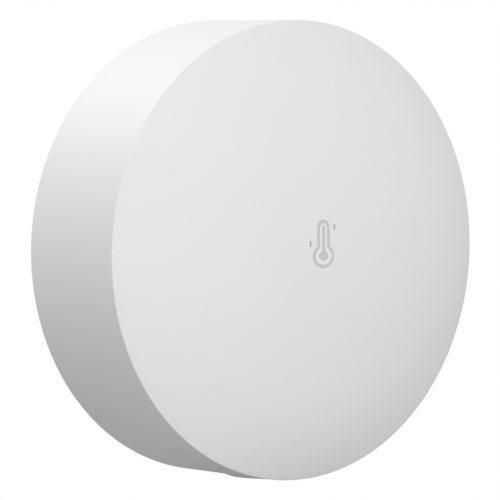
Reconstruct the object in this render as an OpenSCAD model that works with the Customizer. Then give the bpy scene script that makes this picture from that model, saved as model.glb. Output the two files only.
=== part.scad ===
// Round wall sensor for room temperature and humidity.
// Pieces are placed on a bench frame: z runs from the wall out to the face, y is up and x is to the
// right as seen from the front. Each piece is then turned upright, so that the face looks along -Y
// and +Z is up, with the origin at the middle of the surface that meets the wall.

/* [Housing] */
// Room between the corners of the cell bay and the barrel, which sets the diameter of the body
bay_room = 1.84; // [1.4:0.02:8]
// Room in front of the circuit board, up to the edge of the face
face_room = 1.1; // [0.9:0.05:6]
// Rise of the domed face above its edge
crown_h = 5.4; // [5.2:0.1:6.4]
// Width of the tighter band round the edge of the face
shoulder_w = 10; // [8:0.5:12]
// Part of the rise that falls within that band
shoulder_h = 3.4; // [3.1:0.1:4.2]
// Rounding of the edge between the face and the barrel
edge_round = 0.35; // [0.2:0.05:0.8]
// Rounding of the rear rim of the barrel
rim_round = 0.15; // [0.1:0.05:0.8]
// Thickness of the barrel wall
barrel_wall = 1.8; // [1.4:0.1:2.2]
// Thickness of the face
face_wall = 1.8; // [1.4:0.1:2]

/* [Wall plate] */
// Gap between the wall and the rear rim of the barrel
wall_gap = 0.8; // [0.6:0.1:1.6]
// Thickness of the plate's floor
plate_t = 2; // [1.6:0.1:2.6]
// Bevel round the rear edge of the plate
plate_bevel = 0.5; // [0.2:0.1:0.8]
// Thickness of the plate's locking flange
flange_t = 1.3; // [1:0.1:2]
// Width of the ring that carries the flange
flange_ring_w = 1.6; // [1.2:0.1:2.4]
// Distance between the two wall screws
screw_spacing = 36; // [30:1:40]
// Diameter of a wall screw's hole
screw_hole_d = 4; // [3.2:0.1:4.6]
// Diameter of the countersink for a wall screw's head
screw_sink_d = 7.2; // [6.4:0.1:7.6]
// Wall of the boss round a wall screw's hole
screw_boss_wall = 1.2; // [0.8:0.1:1.6]
// Number of air slots in each of the two rows
vent_count = 5; // [3:1:5]
// Distance from one air slot to the next
vent_pitch = 6; // [4:0.5:8]
// Plain margin between the air slots and the flange
vent_edge = 2; // [1:0.1:4]
// Width of an air slot
vent_w = 1.6; // [1:0.1:2.2]
// Length of an air slot
vent_l = 6; // [4:0.5:7]
// Width of the adhesive pad
pad_w = 28; // [20:1:30]
// Height of the adhesive pad
pad_h = 18; // [12:1:22]
// Thickness of the adhesive pad
pad_t = 1; // [0.8:0.1:1.4]
// Depth of the recess that the pad is stuck into
pad_recess = 0.5; // [0.3:0.1:0.6]

/* [Twist lock] */
// Number of lugs round the rear rim
lug_count = 4; // [3:1:4]
// Angle that one lug spans
lug_angle = 20; // [14:1:22]
// Thickness of a lug
lug_t = 1.2; // [1:0.1:1.6]
// Reach of a lug inwards from the barrel
lug_reach = 1.8; // [1.4:0.1:2]
// Turn that frees the body from the wall plate
twist_angle = 24; // [24:1:30]
// Angle that one end stop spans
stop_angle = 3; // [2:0.5:4]

/* [Cells] */
// Diameter of an AAA cell
cell_d = 10.5; // [8:0.1:14.5]
// Length of an AAA cell over its positive nub
cell_l = 44.5; // [40:0.1:51]
// Clear distance between the two cells
cell_gap = 1.4; // [1:0.1:2.4]
// Compressed length of a negative spring
spring_l = 2.5; // [2.2:0.1:3]
// Wire diameter of a negative spring
spring_wire = 0.5; // [0.4:0.05:0.6]
// Turns of a negative spring
spring_turns = 2.5; // [2:0.5:2.5]
// Thickness of the sheet contacts
sheet_t = 0.3; // [0.2:0.05:0.5]
// Wall of the chassis round the cells
chassis_wall = 1.2; // [1:0.1:1.4]

/* [Board] */
// Thickness of the circuit board
board_t = 1; // [0.8:0.1:1.6]
// Room between the barrel and the edge of the board
board_inset = 3.2; // [3:0.1:3.8]
// Distance of a clamp screw from the middle, across
post_x = 11; // [10:0.5:12]
// Distance of a clamp screw from the side of the chassis
post_reach = 3.25; // [3:0.05:4]
// Outside diameter of a screw post
post_d = 4.6; // [4:0.1:5.2]
// Thickness of the chassis ear under a clamp screw
ear_t = 1.4; // [1:0.1:1.8]
// Shank diameter of a clamp screw
clamp_d = 2; // [1.8:0.1:2.2]
// Length of a clamp screw under its head
clamp_l = 4.8; // [4.4:0.1:5]
// Diameter of the light guide
guide_d = 3; // [2:0.1:4]

/* [Pairing key] */
// Diameter of the round key in the underside of the barrel
key_d = 10.4; // [8:0.1:11]
// How far the key stands proud of the barrel at its end towards the wall
key_proud = 0.32; // [0.2:0.01:0.8]
// How far the key stands proud of the barrel at its end towards the face
key_front = 0.08; // [0:0.01:0.3]
// Travel of the key
key_travel = 0.5; // [0.3:0.1:0.6]
// Clearance round the key
key_gap = 0.2; // [0.15:0.05:0.3]

/* [Hidden] */
$fn = 96;
smooth_fn = 240;           // facets of the large round outlines
fit_gap = 0.3;             // clearance between pieces that move past each other
seat_gap = 0.15;           // clearance between pieces that only sit together
slip_gap = 0.05;           // clearance of a pin or screw in its hole
cut = 1;                   // overrun of a cutting shape past the face that it cuts

// Levels, counted from the wall
plate_z = pad_t - pad_recess;
plate_top_z = plate_z + plate_t;
rim_z = wall_gap;
flange_z = rim_z + lug_t + fit_gap;
flange_top_z = flange_z + flange_t;
chassis_z = flange_top_z + 2 * fit_gap;
trough_r = cell_d / 2 + seat_gap;
cradle_r = trough_r + chassis_wall;
cell_z = chassis_z + cell_d / 2;
chassis_top_z = cell_z + cradle_r;
board_z = chassis_top_z + fit_gap;
board_top_z = board_z + board_t;
edge_z = board_top_z + face_room;
apex_z = edge_z + crown_h;
barrel_depth = edge_z - rim_z;
echo(barrel_depth = barrel_depth, overall_depth = apex_z);

// Cells and contacts
nub_d = 3.8;
nub_l = 0.9;
nub_edge = 0.2;
cell_bead = 0.5;
dimple_l = 0.8;
dimple_d = 3;
dimple_flare = 1.6;
cell_pitch = cell_d + cell_gap;
cell_y = cell_pitch / 2;
bay_x = (cell_l + dimple_l + spring_l) / 2 + sheet_t;
cell_shift = (spring_l - dimple_l) / 2;
contact_w = 9;
contact_h = 8.6;
bay_corner_r = norm([bay_x, cell_y + contact_w / 2]);
tab_w = 2.4;
tab_proud = 0.4;
pocket_w = contact_w + 4 * seat_gap;
pocket_l = 1.4;
pocket_top_z = cell_z + contact_h / 2 + seat_gap;
trough_x = bay_x - pocket_l;
chassis_x = bay_x + chassis_wall;
chassis_y = cell_y + cradle_r;
finger_d = 9;
spring_base_r = 3.6;
spring_tip_r = 1.6;
spring_rings = 12;
spring_sides = 6;
spring_steps = round(spring_turns * spring_rings);

// Barrel and crown: the middle of the face is one arc, and the shoulder is a second arc that leaves
// it at the same slope and ends on the edge of the barrel
bore_r = bay_corner_r + bay_room;
body_r = bore_r + barrel_wall;
body_d = 2 * body_r;
chassis_r = bore_r - 2 * fit_gap;
echo(body_d = body_d);
shoulder_in = body_r - shoulder_w;
crown_rise = crown_h - shoulder_h;
crown_r = (shoulder_in ^ 2 + crown_rise ^ 2) / (2 * crown_rise);
crown_tilt = asin(shoulder_in / crown_r);
shoulder_r = (shoulder_w ^ 2 + shoulder_h ^ 2)
    / (2 * (shoulder_h * cos(crown_tilt) - shoulder_w * sin(crown_tilt)));
shoulder_x = shoulder_in - shoulder_r * sin(crown_tilt);
shoulder_z = edge_z + shoulder_h - shoulder_r * cos(crown_tilt);
round_x = body_r - edge_round;
round_z = shoulder_z + sqrt((shoulder_r - edge_round) ^ 2 - (round_x - shoulder_x) ^ 2);

// Wall plate
plate_r = bore_r - lug_reach - fit_gap;
flange_r = bore_r - fit_gap;
flange_in = plate_r - flange_ring_w;
flange_root = plate_r - flange_ring_w / 2;
stop_r = flange_r - fit_gap;
lug_pitch = 360 / lug_count;
notch_play = 1;
notch_angle = lug_angle + 2 * notch_play;
stop_play = 1.5;
stop_offset = lug_angle / 2 + stop_play + stop_angle / 2;
pad_corner = 3;
vent_end_r = flange_in - vent_edge;
sink_depth = (screw_sink_d - screw_hole_d) / 2;
screw_boss_d = screw_sink_d + 2 * screw_boss_wall;

// Clamp screws
post_y = chassis_y + post_reach;
post_hole_r = clamp_d / 2 + slip_gap;
post_hole_z = board_z - ear_t + clamp_l + seat_gap;
ear_r = post_d / 2 + 0.7;
ear_root = cradle_r / 2;
head_d = 3.6;
head_t = 1.2;
head_bevel = 0.35;
tip_bevel = 0.4;
recess_w = 0.6;
recess_l = 2;
recess_t = 0.7;

// Board and what stands on it
board_r = bore_r - board_inset;
notch_x = bay_x - sheet_t - 2 * seat_gap;
led_size = [2, 1.25, 0.7];
led_base = 0.3;
led_lens_l = 1.4;
led_draft = 0.12;
guide_pocket = 0.8;
guide_bevel = 0.2;
guide_flange_t = 0.6;
guide_z = board_top_z + led_size.z + fit_gap;
guide_top_z = apex_z - face_wall + guide_pocket;
collar_wall = 1.1;
collar_l = 2.4;
collar_z = apex_z - face_wall - collar_l;
shield_size = [10.2, 13, 1.9];
shield_sheet = 0.2;
shield_corner = 0.6;
shield_notch = [1.4, 0.4];
radio_size = [18, 15, 0.8];
radio_aerial_l = 6;
radio_pitch = 1.5;
radio_pad_d = 0.8;
radio_end_x = -3.5;
radio_margin = 0.8;
radio_pos = [radio_end_x - radio_size.x, -radio_size.y / 2];
shield_pos = [radio_end_x - radio_margin - shield_size.x, -shield_size.y / 2];
capacitor_size = [7.3, 4.3, 2.6];
capacitor_pos = [9.65, 0.65];
capacitor_bevel = 0.6;
strap_t = 0.12;
strap_w = 2.4;
strap_h = 1.4;
strap_foot = 1.3;
regulator_size = [2.9, 1.4, 1];
regulator_pos = [7.5, 7.35];
regulator_lift = 0.1;
regulator_draft = 0.12;
lead_w = 0.4;
lead_t = 0.15;
lead_knee = 0.2;
lead_reach = 0.65;
lead_root = 0.3;
lead_pitch = 1.9;
sensor_size = [2.5, 2.5, 0.9];
sensor_edge = 2.3;
sensor_turn = 42;
sensor_pos = (board_r - sensor_edge) * [cos(sensor_turn), -sin(sensor_turn)];
sensor_port_d = 1;
slot_size = [5, 0.9];
slot_pos = sensor_pos + [-slot_size.x / 2, sensor_size.y / 2 + slot_size.y];
chip_size = [1.6, 0.8, 0.55];
chip_cap = 0.35;
chip_lip = 0.04;
chip_pos = [-1, -13];
chip_pitch = [2.8, 2.2];
chip_columns = 4;
chip_rows = 3;

// Pairing key and its switch
switch_size = [6, 3.5, 7];
switch_drop = 4.2;
switch_inset = 0.6;
switch_cover_l = 1.6;
switch_cover_t = 0.25;
rivet_d = 0.9;
rivet_h = 0.2;
rivet_pitch = 4.2;
switch_z = board_z - switch_drop;
switch_face = board_r - switch_inset;
plunger_d = 2;
plunger_out = 1.2;
plunger_in = 1.4;
key_drop = 0.95;
key_z = switch_z - key_drop;
key_r = key_d / 2;
key_ear_w = key_d + 2.8;
key_ear_h = 6;
key_ear_t = 1;
key_ear_r = bore_r - fit_gap;
key_ear_in = key_ear_r - key_ear_t;
key_boss_d = 3;
rail_t = 0.8;
rail_l = 2.4;

// Turns the bench frame upright, with the face towards -Y
module upright() {
    rotate([90, 0, 0]) children();
}

// A box centred on x and y that stands on z = 0
module block(size) {
    translate([-size.x / 2, -size.y / 2, 0]) cube(size);
}

// Ring between two radii, standing on z = 0
module ring(outer, inner, height) {
    difference() {
        cylinder(r = outer, h = height);
        translate([0, 0, -cut]) cylinder(r = inner, h = height + 2 * cut);
    }
}

// Part of a ring that spans an angle, centred on the direction given
module ring_sector(outer, inner, height, direction, angle) {
    reach = 1.5 * outer;
    rotate(direction)
        intersection() {
            ring(outer, inner, height);
            translate([0, 0, -cut])
                linear_extrude(height + 2 * cut)
                    polygon([
                        [0, 0],
                        [reach * cos(angle / 2), -reach * sin(angle / 2)],
                        [reach * cos(angle / 2), reach * sin(angle / 2)]
                    ]);
        }
}

// Repeats its children round the axis, one for each lug
module at_lugs() {
    for (i = [0:lug_count - 1]) rotate(lug_pitch * (i + 0.5)) children();
}

// Repeats its children at the four clamp screws
module at_posts() {
    for (x = [-post_x, post_x], y = [-post_y, post_y]) translate([x, y, 0]) children();
}

// Runs a section along x: its first direction lies along y and its second along z
module along_x(length) {
    rotate([90, 0, 90]) translate([0, 0, -length / 2]) linear_extrude(length) children();
}

// Runs a section along y: its first direction lies along x and its second along z
module along_y(length) {
    rotate([90, 0, 0]) translate([0, 0, -length / 2]) linear_extrude(length) children();
}

// Rectangle with round corners, centred on the origin
module rounded_rect(size, corner) {
    square([size.x, size.y - 2 * corner], center = true);
    square([size.x - 2 * corner, size.y], center = true);
    for (x = [-1, 1], y = [-1, 1])
        translate([x * (size.x / 2 - corner), y * (size.y / 2 - corner)]) circle(r = corner);
}

// Stands its children on a radius that leaves the barrel through the underside
module through_underside(z) {
    translate([0, 0, z]) rotate([90, 0, 0]) children();
}

// Half section under the crown. The inset moves it inwards from the face, and the side moves it
// inwards from the barrel.
module crown_section(inset, side) {
    bottom = rim_z - cut;
    height = apex_z - bottom + cut;
    intersection() {
        translate([0, apex_z - crown_r]) circle(r = crown_r - inset, $fn = smooth_fn);
        translate([0, bottom]) square([shoulder_in, height]);
    }
    intersection() {
        translate([shoulder_x, shoulder_z]) circle(r = shoulder_r - inset, $fn = smooth_fn);
        translate([shoulder_in, bottom]) square([body_r - side - shoulder_in, height]);
    }
}

// Sliver between the sharp corner of the section and its rounding
module edge_sliver() {
    direction = atan2(round_z - shoulder_z, round_x - shoulder_x);
    touch_x = shoulder_x + shoulder_r * cos(direction);
    touch_z = shoulder_z + shoulder_r * sin(direction);
    difference() {
        polygon([
            [round_x, round_z],
            [body_r, round_z],
            [body_r + edge_round, round_z + edge_round],
            [touch_x, touch_z + edge_round],
            [touch_x, touch_z]
        ]);
        translate([round_x, round_z]) circle(r = edge_round);
    }
}

// Sliver between the sharp rear rim of the section and its rounding
module rim_sliver() {
    difference() {
        translate([body_r - rim_round, rim_z - cut]) square(rim_round + cut);
        translate([body_r - rim_round, rim_z + rim_round]) circle(r = rim_round);
    }
}

// Solid that fills the shell, out to the face and the barrel
module shell_envelope() {
    rotate_extrude($fn = smooth_fn)
        difference() {
            crown_section(0, 0);
            edge_sliver();
            rim_sliver();
            translate([-cut, rim_z - 2 * cut]) square([body_r + 2 * cut, 2 * cut]);
        }
}

// Room inside the shell
module shell_room() {
    rotate_extrude($fn = smooth_fn) crown_section(face_wall, barrel_wall);
}

// Rails on the inside of the barrel that keep the key from turning
module key_rails() {
    for (side = [-1, 1])
        intersection() {
            translate([0, 0, key_z - key_ear_h / 2])
                ring(bore_r + barrel_wall / 2, bore_r - rail_l, key_ear_h);
            translate([side * (key_ear_w / 2 + fit_gap + rail_t / 2), -body_r, key_z - key_ear_h / 2])
                block([rail_t, body_r, key_ear_h]);
        }
}

// One moulding: domed face, barrel, screw posts, collar for the light guide, key rails and lugs
module front_shell() {
    color("whitesmoke")
        upright()
            difference() {
                union() {
                    difference() {
                        shell_envelope();
                        shell_room();
                    }
                    intersection() {
                        shell_envelope();
                        union() {
                            at_posts()
                                translate([0, 0, board_top_z]) cylinder(d = post_d, h = apex_z);
                            translate([0, 0, collar_z])
                                cylinder(d = guide_d + 2 * collar_wall, h = apex_z);
                        }
                    }
                    at_lugs()
                        translate([0, 0, rim_z])
                            ring_sector(bore_r + barrel_wall / 2, bore_r - lug_reach, lug_t, 0, lug_angle);
                    key_rails();
                }
                at_posts()
                    translate([0, 0, board_top_z - cut])
                        cylinder(r = post_hole_r, h = post_hole_z - board_top_z + cut);
                translate([0, 0, guide_z - cut])
                    cylinder(r = guide_d / 2 + slip_gap, h = guide_top_z - guide_z + cut);
                through_underside(key_z) cylinder(r = key_r + key_gap, h = body_r + cut);
            }
}

// Clear rod that carries the indicator's light to the back of the face, with a flange under the collar
module light_guide() {
    r = guide_d / 2;
    flange = r + collar_wall;
    flange_end_z = collar_z - slip_gap;
    end_z = guide_top_z - slip_gap;
    color("azure", 0.5)
        upright()
            rotate_extrude()
                polygon([
                    [0, guide_z],
                    [r - guide_bevel, guide_z],
                    [r, guide_z + guide_bevel],
                    [r, flange_end_z - guide_flange_t],
                    [flange, flange_end_z - guide_flange_t],
                    [flange, flange_end_z],
                    [r, flange_end_z],
                    [r, end_z - guide_bevel],
                    [r - guide_bevel, end_z],
                    [0, end_z]
                ]);
}

// Section of the two cradles, before the cells' troughs are cut
module cradle_section() {
    for (y = [-cell_y, cell_y]) {
        translate([y, cell_z]) circle(r = cradle_r);
        translate([y - cradle_r, chassis_z]) square([2 * cradle_r, cell_z - chassis_z]);
    }
}

// Ear under one clamp screw, with the web that ties it to the side of the chassis
module chassis_ear() {
    translate([0, 0, board_z - ear_t]) {
        cylinder(r = ear_r, h = ear_t);
        translate([-ear_r, -post_reach - ear_root, 0]) cube([2 * ear_r, post_reach + ear_root, ear_t]);
    }
    translate([-ear_r, -post_reach - chassis_wall, cell_z])
        cube([2 * ear_r, chassis_wall, board_z - ear_t - cell_z]);
}

// Room for one cell along x, open to the wall, with a pocket for a sheet contact at each end
module cell_bay() {
    rotate([0, 90, 0]) translate([0, 0, -trough_x]) cylinder(r = trough_r, h = 2 * trough_x);
    translate([-trough_x, -trough_r, -cell_d]) cube([2 * trough_x, 2 * trough_r, cell_d]);
    for (end = [-1, 1])
        translate([end * (bay_x - pocket_l / 2), 0, -cell_d])
            block([pocket_l, pocket_w, cell_d + pocket_top_z - cell_z]);
}

// Tray for the two cells: cored cradles, end walls for the contacts and four ears for the screws
module battery_chassis() {
    series_slot = 2 * sheet_t;
    color("gainsboro")
        upright()
            difference() {
                intersection() {
                    union() {
                        along_x(2 * chassis_x) cradle_section();
                        for (end = [-1, 1])
                            translate([end * (chassis_x + trough_x) / 2, 0, chassis_z])
                                block([
                                    chassis_x - trough_x,
                                    2 * chassis_y,
                                    pocket_top_z + chassis_wall - chassis_z
                                ]);
                        for (turn = [0, 180], x = [-post_x, post_x])
                            rotate(turn) translate([x, post_y, 0]) chassis_ear();
                    }
                    translate([0, 0, chassis_z]) cylinder(r = chassis_r, h = board_z - chassis_z);
                }
                for (y = [-cell_y, cell_y]) translate([0, y, cell_z]) cell_bay();
                // slot that joins the two pockets at the series end
                translate([series_slot / 2 - bay_x, 0, chassis_z - cut])
                    block([series_slot, cell_pitch, pocket_top_z - chassis_z + cut]);
                // passages for the solder tabs
                for (y = [-cell_y, cell_y])
                    translate([bay_x - sheet_t / 2, y, cell_z])
                        block([sheet_t + 2 * seat_gap, tab_w + 2 * seat_gap, 2 * cell_d]);
                at_posts() cylinder(r = post_hole_r + slip_gap, h = apex_z);
                // round notches in the outer walls, where a finger lifts a cell out
                for (y = [-chassis_y, chassis_y])
                    translate([0, y, chassis_z])
                        rotate([90, 0, 0])
                            cylinder(d = finger_d, h = 2 * (chassis_wall + seat_gap), center = true);
            }
}

// One AAA cell along x, with its middle at the origin and its nub towards +x
module cell() {
    can_l = cell_l - nub_l;
    rotate([0, 90, 0])
        translate([0, 0, -cell_l / 2])
            rotate_extrude()
                polygon([
                    [0, 0],
                    [cell_d / 2 - cell_bead, 0],
                    [cell_d / 2, cell_bead],
                    [cell_d / 2, can_l - cell_bead],
                    [cell_d / 2 - cell_bead, can_l],
                    [nub_d / 2, can_l],
                    [nub_d / 2, cell_l - nub_edge],
                    [nub_d / 2 - nub_edge, cell_l],
                    [0, cell_l]
                ]);
}

// Upper cell, positive end to the right
module cell_upper() {
    color("darkseagreen") upright() translate([cell_shift, cell_y, cell_z]) cell();
}

// Lower cell, positive end to the left
module cell_lower() {
    color("darkseagreen") upright() translate([-cell_shift, -cell_y, cell_z]) rotate(180) cell();
}

// Sheet at the right-hand end of the bay, standing across x
module contact_sheet(width) {
    translate([bay_x - sheet_t / 2, 0, cell_z - contact_h / 2]) block([sheet_t, width, contact_h]);
}

// Tab that runs from the sheet up through the board's edge
module solder_tab() {
    translate([bay_x - sheet_t / 2, 0, cell_z]) block([sheet_t, tab_w, board_top_z + tab_proud - cell_z]);
}

// Pressed dimple that meets a cell's nub
module dimple() {
    translate([bay_x - sheet_t - dimple_l, 0, cell_z])
        rotate([0, 90, 0]) cylinder(d1 = dimple_d, d2 = dimple_d + dimple_flare, h = dimple_l);
}

// Sheet contact for the positive end of the upper cell
module positive_contact() {
    color("silver")
        upright()
            translate([0, cell_y, 0]) {
                contact_sheet(contact_w);
                solder_tab();
                dimple();
            }
}

// Sheet contact that carries the lower cell's spring
module negative_contact() {
    color("silver")
        upright()
            translate([0, -cell_y, 0]) {
                contact_sheet(contact_w);
                solder_tab();
            }
}

// Sheet contact that joins the two cells in series
module series_contact() {
    color("silver")
        upright()
            rotate(180) {
                contact_sheet(cell_pitch + contact_w);
                translate([0, cell_y, 0]) dimple();
            }
}

// Centre line of a conical spring that stands on z = 0, from its wide foot to its narrow tip
function spring_point(i) =
    let (
        t = i / spring_steps,
        r = spring_base_r + (spring_tip_r - spring_base_r) * t,
        a = 360 * spring_turns * t
    )
    [r * cos(a), r * sin(a), spring_wire / 2 + (spring_l - spring_wire) * t];

// Least clear distance between one turn of the spring and the next
spring_self_gap = min([
    for (i = [0:spring_steps - spring_rings]) norm(spring_point(i) - spring_point(i + spring_rings))
]) - spring_wire;
echo(spring_self_gap = spring_self_gap);

// Tube swept along the spring's centre line
module conical_spring() {
    points = [
        for (i = [0:spring_steps], s = [0:spring_sides - 1])
            let (
                p = spring_point(i),
                a = 360 * spring_turns * i / spring_steps,
                b = 360 * s / spring_sides,
                out = cos(b) * spring_wire / 2,
                rise = sin(b) * spring_wire / 2
            )
            [p.x + out * cos(a), p.y + out * sin(a), p.z + rise]
    ];
    last = spring_steps * spring_sides;
    sides = [
        for (i = [0:spring_steps - 1], s = [0:spring_sides - 1])
            let (n = (s + 1) % spring_sides, a = i * spring_sides, b = a + spring_sides)
            each [[a + s, b + s, b + n], [a + s, b + n, a + n]]
    ];
    foot = [for (s = [1:spring_sides - 2]) [0, s, s + 1]];
    tip = [for (s = [1:spring_sides - 2]) [last, last + s + 1, last + s]];
    polyhedron(points, concat(sides, foot, tip));
}

// Spring that stands on the right-hand sheet and reaches towards the lower cell
module negative_spring() {
    color("lightsteelblue")
        upright()
            translate([bay_x - sheet_t, -cell_y, cell_z]) rotate([0, -90, 0]) conical_spring();
}

// Spring that stands on the series sheet and reaches towards the upper cell
module series_spring() {
    color("lightsteelblue")
        upright()
            translate([sheet_t - bay_x, cell_y, cell_z]) rotate([0, 90, 0]) conical_spring();
}

// Round circuit board with screw holes, notches for the tabs and a slot beside the sensor
module main_board() {
    color("seagreen")
        upright()
            translate([0, 0, board_z])
                linear_extrude(board_t)
                    difference() {
                        circle(r = board_r);
                        at_posts() circle(r = post_hole_r + slip_gap);
                        for (y = [-cell_y, cell_y])
                            translate([notch_x, y - tab_w / 2 - seat_gap])
                                square([board_r, tab_w + 2 * seat_gap]);
                        translate(slot_pos) square(slot_size);
                    }
}

// Places its children on the front of the board
module on_board(pos) {
    upright() translate([pos.x, pos.y, board_top_z]) children();
}

// Carrier of the radio: half-round solder pads along two edges, and a bare strip for its printed aerial
module radio_board() {
    pads = floor((radio_size.x - radio_aerial_l) / radio_pitch);
    color("darkgreen")
        on_board(radio_pos)
            linear_extrude(radio_size.z)
                difference() {
                    square([radio_size.x, radio_size.y]);
                    for (i = [0:pads - 1], y = [0, radio_size.y])
                        translate([radio_size.x - (i + 0.5) * radio_pitch, y]) circle(d = radio_pad_d);
                }
}

// Drawn tin lid over the radio, with notches at the foot of two walls
module radio_shield() {
    inside = shield_size - [2, 2, 1] * shield_sheet;
    color("lightgray")
        on_board(shield_pos + [shield_size.x, shield_size.y] / 2)
            translate([0, 0, radio_size.z])
                difference() {
                    linear_extrude(shield_size.z) rounded_rect(shield_size, shield_corner);
                    translate([0, 0, -cut])
                        linear_extrude(inside.z + cut) rounded_rect(inside, shield_corner - shield_sheet);
                    for (x = [-1, 1] * shield_size.x / 4)
                        translate([x, 0, -cut])
                            block([shield_notch.x, shield_size.y + 2 * cut, shield_notch.y + cut]);
                }
}

// Sensing element on the rear of the board, with its port towards the wall
module humidity_sensor() {
    color("dimgray")
        upright()
            translate([sensor_pos.x, sensor_pos.y, board_z - sensor_size.z])
                difference() {
                    block(sensor_size);
                    translate([0, 0, -cut]) cylinder(d = sensor_port_d, h = sensor_size.z / 2 + cut);
                }
}

// Indicator under the light guide: a base with bare ends and a drafted lens
module status_led() {
    foot = led_lens_l / 2;
    color("ivory")
        on_board([0, 0]) {
            block([led_size.x, led_size.y, led_base]);
            along_y(led_size.y)
                polygon([[-foot, 0], [foot, 0], [foot - led_draft, led_size.z], [led_draft - foot, led_size.z]]);
        }
}

// Moulded capacitor that rides out the radio's bursts, with a bevel at its positive end and a strap
// folded under each end
module bulk_capacitor() {
    end_x = capacitor_size.x / 2;
    body_x = end_x - strap_t;
    color("goldenrod")
        on_board(capacitor_pos) {
            along_y(capacitor_size.y)
                polygon([
                    [-body_x, strap_t],
                    [body_x, strap_t],
                    [body_x, capacitor_size.z - capacitor_bevel],
                    [body_x - capacitor_bevel, capacitor_size.z],
                    [-body_x, capacitor_size.z]
                ]);
            for (turn = [0, 180])
                rotate(turn)
                    along_y(strap_w)
                        polygon([
                            [end_x - strap_foot, 0],
                            [end_x, 0],
                            [end_x, strap_h],
                            [end_x - 2 * strap_t, strap_h],
                            [end_x - 2 * strap_t, 2 * strap_t],
                            [end_x - strap_foot, 2 * strap_t]
                        ]);
        }
}

// Bent lead that leaves the side of a small package at y = 0 and stands on the board
module bent_lead(height) {
    along_x(lead_w)
        polygon([
            [-lead_root, height - lead_t / 2],
            [lead_knee - lead_t / 2, height - lead_t / 2],
            [lead_knee + lead_t / 2, 0],
            [lead_reach, 0],
            [lead_reach, lead_t],
            [lead_knee + 1.5 * lead_t, lead_t],
            [lead_knee + lead_t / 2, height + lead_t / 2],
            [-lead_root, height + lead_t / 2]
        ]);
}

// Supply regulator: a drafted body with two leads on one side and one on the other
module regulator() {
    side = regulator_size.y / 2;
    top = regulator_lift + regulator_size.z;
    middle = regulator_lift + regulator_size.z / 2;
    color("black")
        on_board(regulator_pos) {
            along_x(regulator_size.x)
                polygon([
                    [regulator_draft - side, regulator_lift],
                    [side - regulator_draft, regulator_lift],
                    [side, middle],
                    [side - regulator_draft, top],
                    [regulator_draft - side, top],
                    [-side, middle]
                ]);
            translate([0, side, 0]) bent_lead(middle);
            for (x = [-lead_pitch / 2, lead_pitch / 2]) translate([x, -side, 0]) rotate(180) bent_lead(middle);
        }
}

// Small resistor or capacitor: a body between two tinned ends
module chip() {
    block([chip_size.x - chip_cap, chip_size.y, chip_size.z]);
    for (x = [-1, 1] * (chip_size.x - chip_cap) / 2)
        translate([x, 0, 0]) block([chip_cap, chip_size.y + 2 * chip_lip, chip_size.z + chip_lip]);
}

// Field of small resistors and capacitors
module chip_parts() {
    color("tan")
        for (i = [0:chip_columns - 1], j = [0:chip_rows - 1])
            on_board([chip_pos.x + i * chip_pitch.x, chip_pos.y + j * chip_pitch.y]) chip();
}

// Four screws that clamp the chassis and the board to the shell's posts
module clamp_screws() {
    color("slategray")
        upright()
            at_posts()
                translate([0, 0, board_z - ear_t])
                    difference() {
                        rotate_extrude()
                            polygon([
                                [0, -head_t],
                                [head_d / 2 - head_bevel, -head_t],
                                [head_d / 2, head_bevel - head_t],
                                [head_d / 2, 0],
                                [clamp_d / 2, 0],
                                [clamp_d / 2, clamp_l - tip_bevel],
                                [clamp_d / 2 - tip_bevel, clamp_l],
                                [0, clamp_l]
                            ]);
                        for (turn = [0, 90])
                            rotate(turn)
                                translate([0, 0, -head_t - cut]) block([recess_l, recess_w, recess_t + cut]);
                    }
}

// Body of the side-pressed switch on the rear of the board, with a riveted cover round its front
module tact_switch() {
    well = plunger_in + key_travel + 2 * seat_gap;
    body = switch_size - [2, 0, 1] * switch_cover_t;
    color("darkslategray")
        upright()
            difference() {
                union() {
                    translate([0, body.y / 2 - switch_face, board_z - body.z]) block(body);
                    translate([0, switch_cover_l / 2 - switch_face, board_z - switch_size.z])
                        block([switch_size.x, switch_cover_l, switch_size.z]);
                    through_underside(switch_z)
                        for (x = [-1, 1] * rivet_pitch / 2, y = [-1, 1] * rivet_pitch / 2)
                            translate([x, y, switch_face - cut]) cylinder(d = rivet_d, h = cut + rivet_h);
                }
                through_underside(switch_z)
                    translate([0, 0, switch_face - well])
                        cylinder(r = plunger_d / 2 + seat_gap, h = well + cut);
            }
}

// Moving stem of the switch
module switch_plunger() {
    color("black")
        upright()
            through_underside(switch_z)
                translate([0, 0, switch_face - plunger_in]) cylinder(d = plunger_d, h = plunger_in + plunger_out);
}

// Round key in the underside, curved like the barrel and higher towards the wall, with two ears that
// hold it in and a boss that meets the switch
module pairing_key() {
    boss_start = switch_face + plunger_out;
    color("white")
        upright() {
            intersection() {
                through_underside(key_z) cylinder(r = key_r, h = 2 * body_r);
                difference() {
                    translate([0, 0, key_z - key_r])
                        cylinder(r1 = body_r + key_proud, r2 = body_r + key_front, h = key_d);
                    cylinder(r = key_ear_in, h = apex_z);
                }
            }
            intersection() {
                translate([0, 0, key_z - key_ear_h / 2]) ring(key_ear_r, key_ear_in, key_ear_h);
                translate([0, -body_r, key_z - key_ear_h / 2]) block([key_ear_w, body_r, key_ear_h]);
            }
            through_underside(switch_z)
                translate([0, 0, boss_start])
                    cylinder(d = key_boss_d, h = key_ear_in + key_ear_t / 2 - boss_start);
        }
}

// One air slot with round ends, along y. All the slots end on a circle inside the flange.
module vent(x) {
    end_y = sqrt(vent_end_r ^ 2 - x ^ 2);
    linear_extrude(plate_top_z + cut) {
        translate([x - vent_w / 2, end_y - vent_l + vent_w / 2]) square([vent_w, vent_l - vent_w]);
        for (y = [end_y - vent_w / 2, end_y - vent_l + vent_w / 2]) translate([x, y]) circle(d = vent_w);
    }
}

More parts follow.
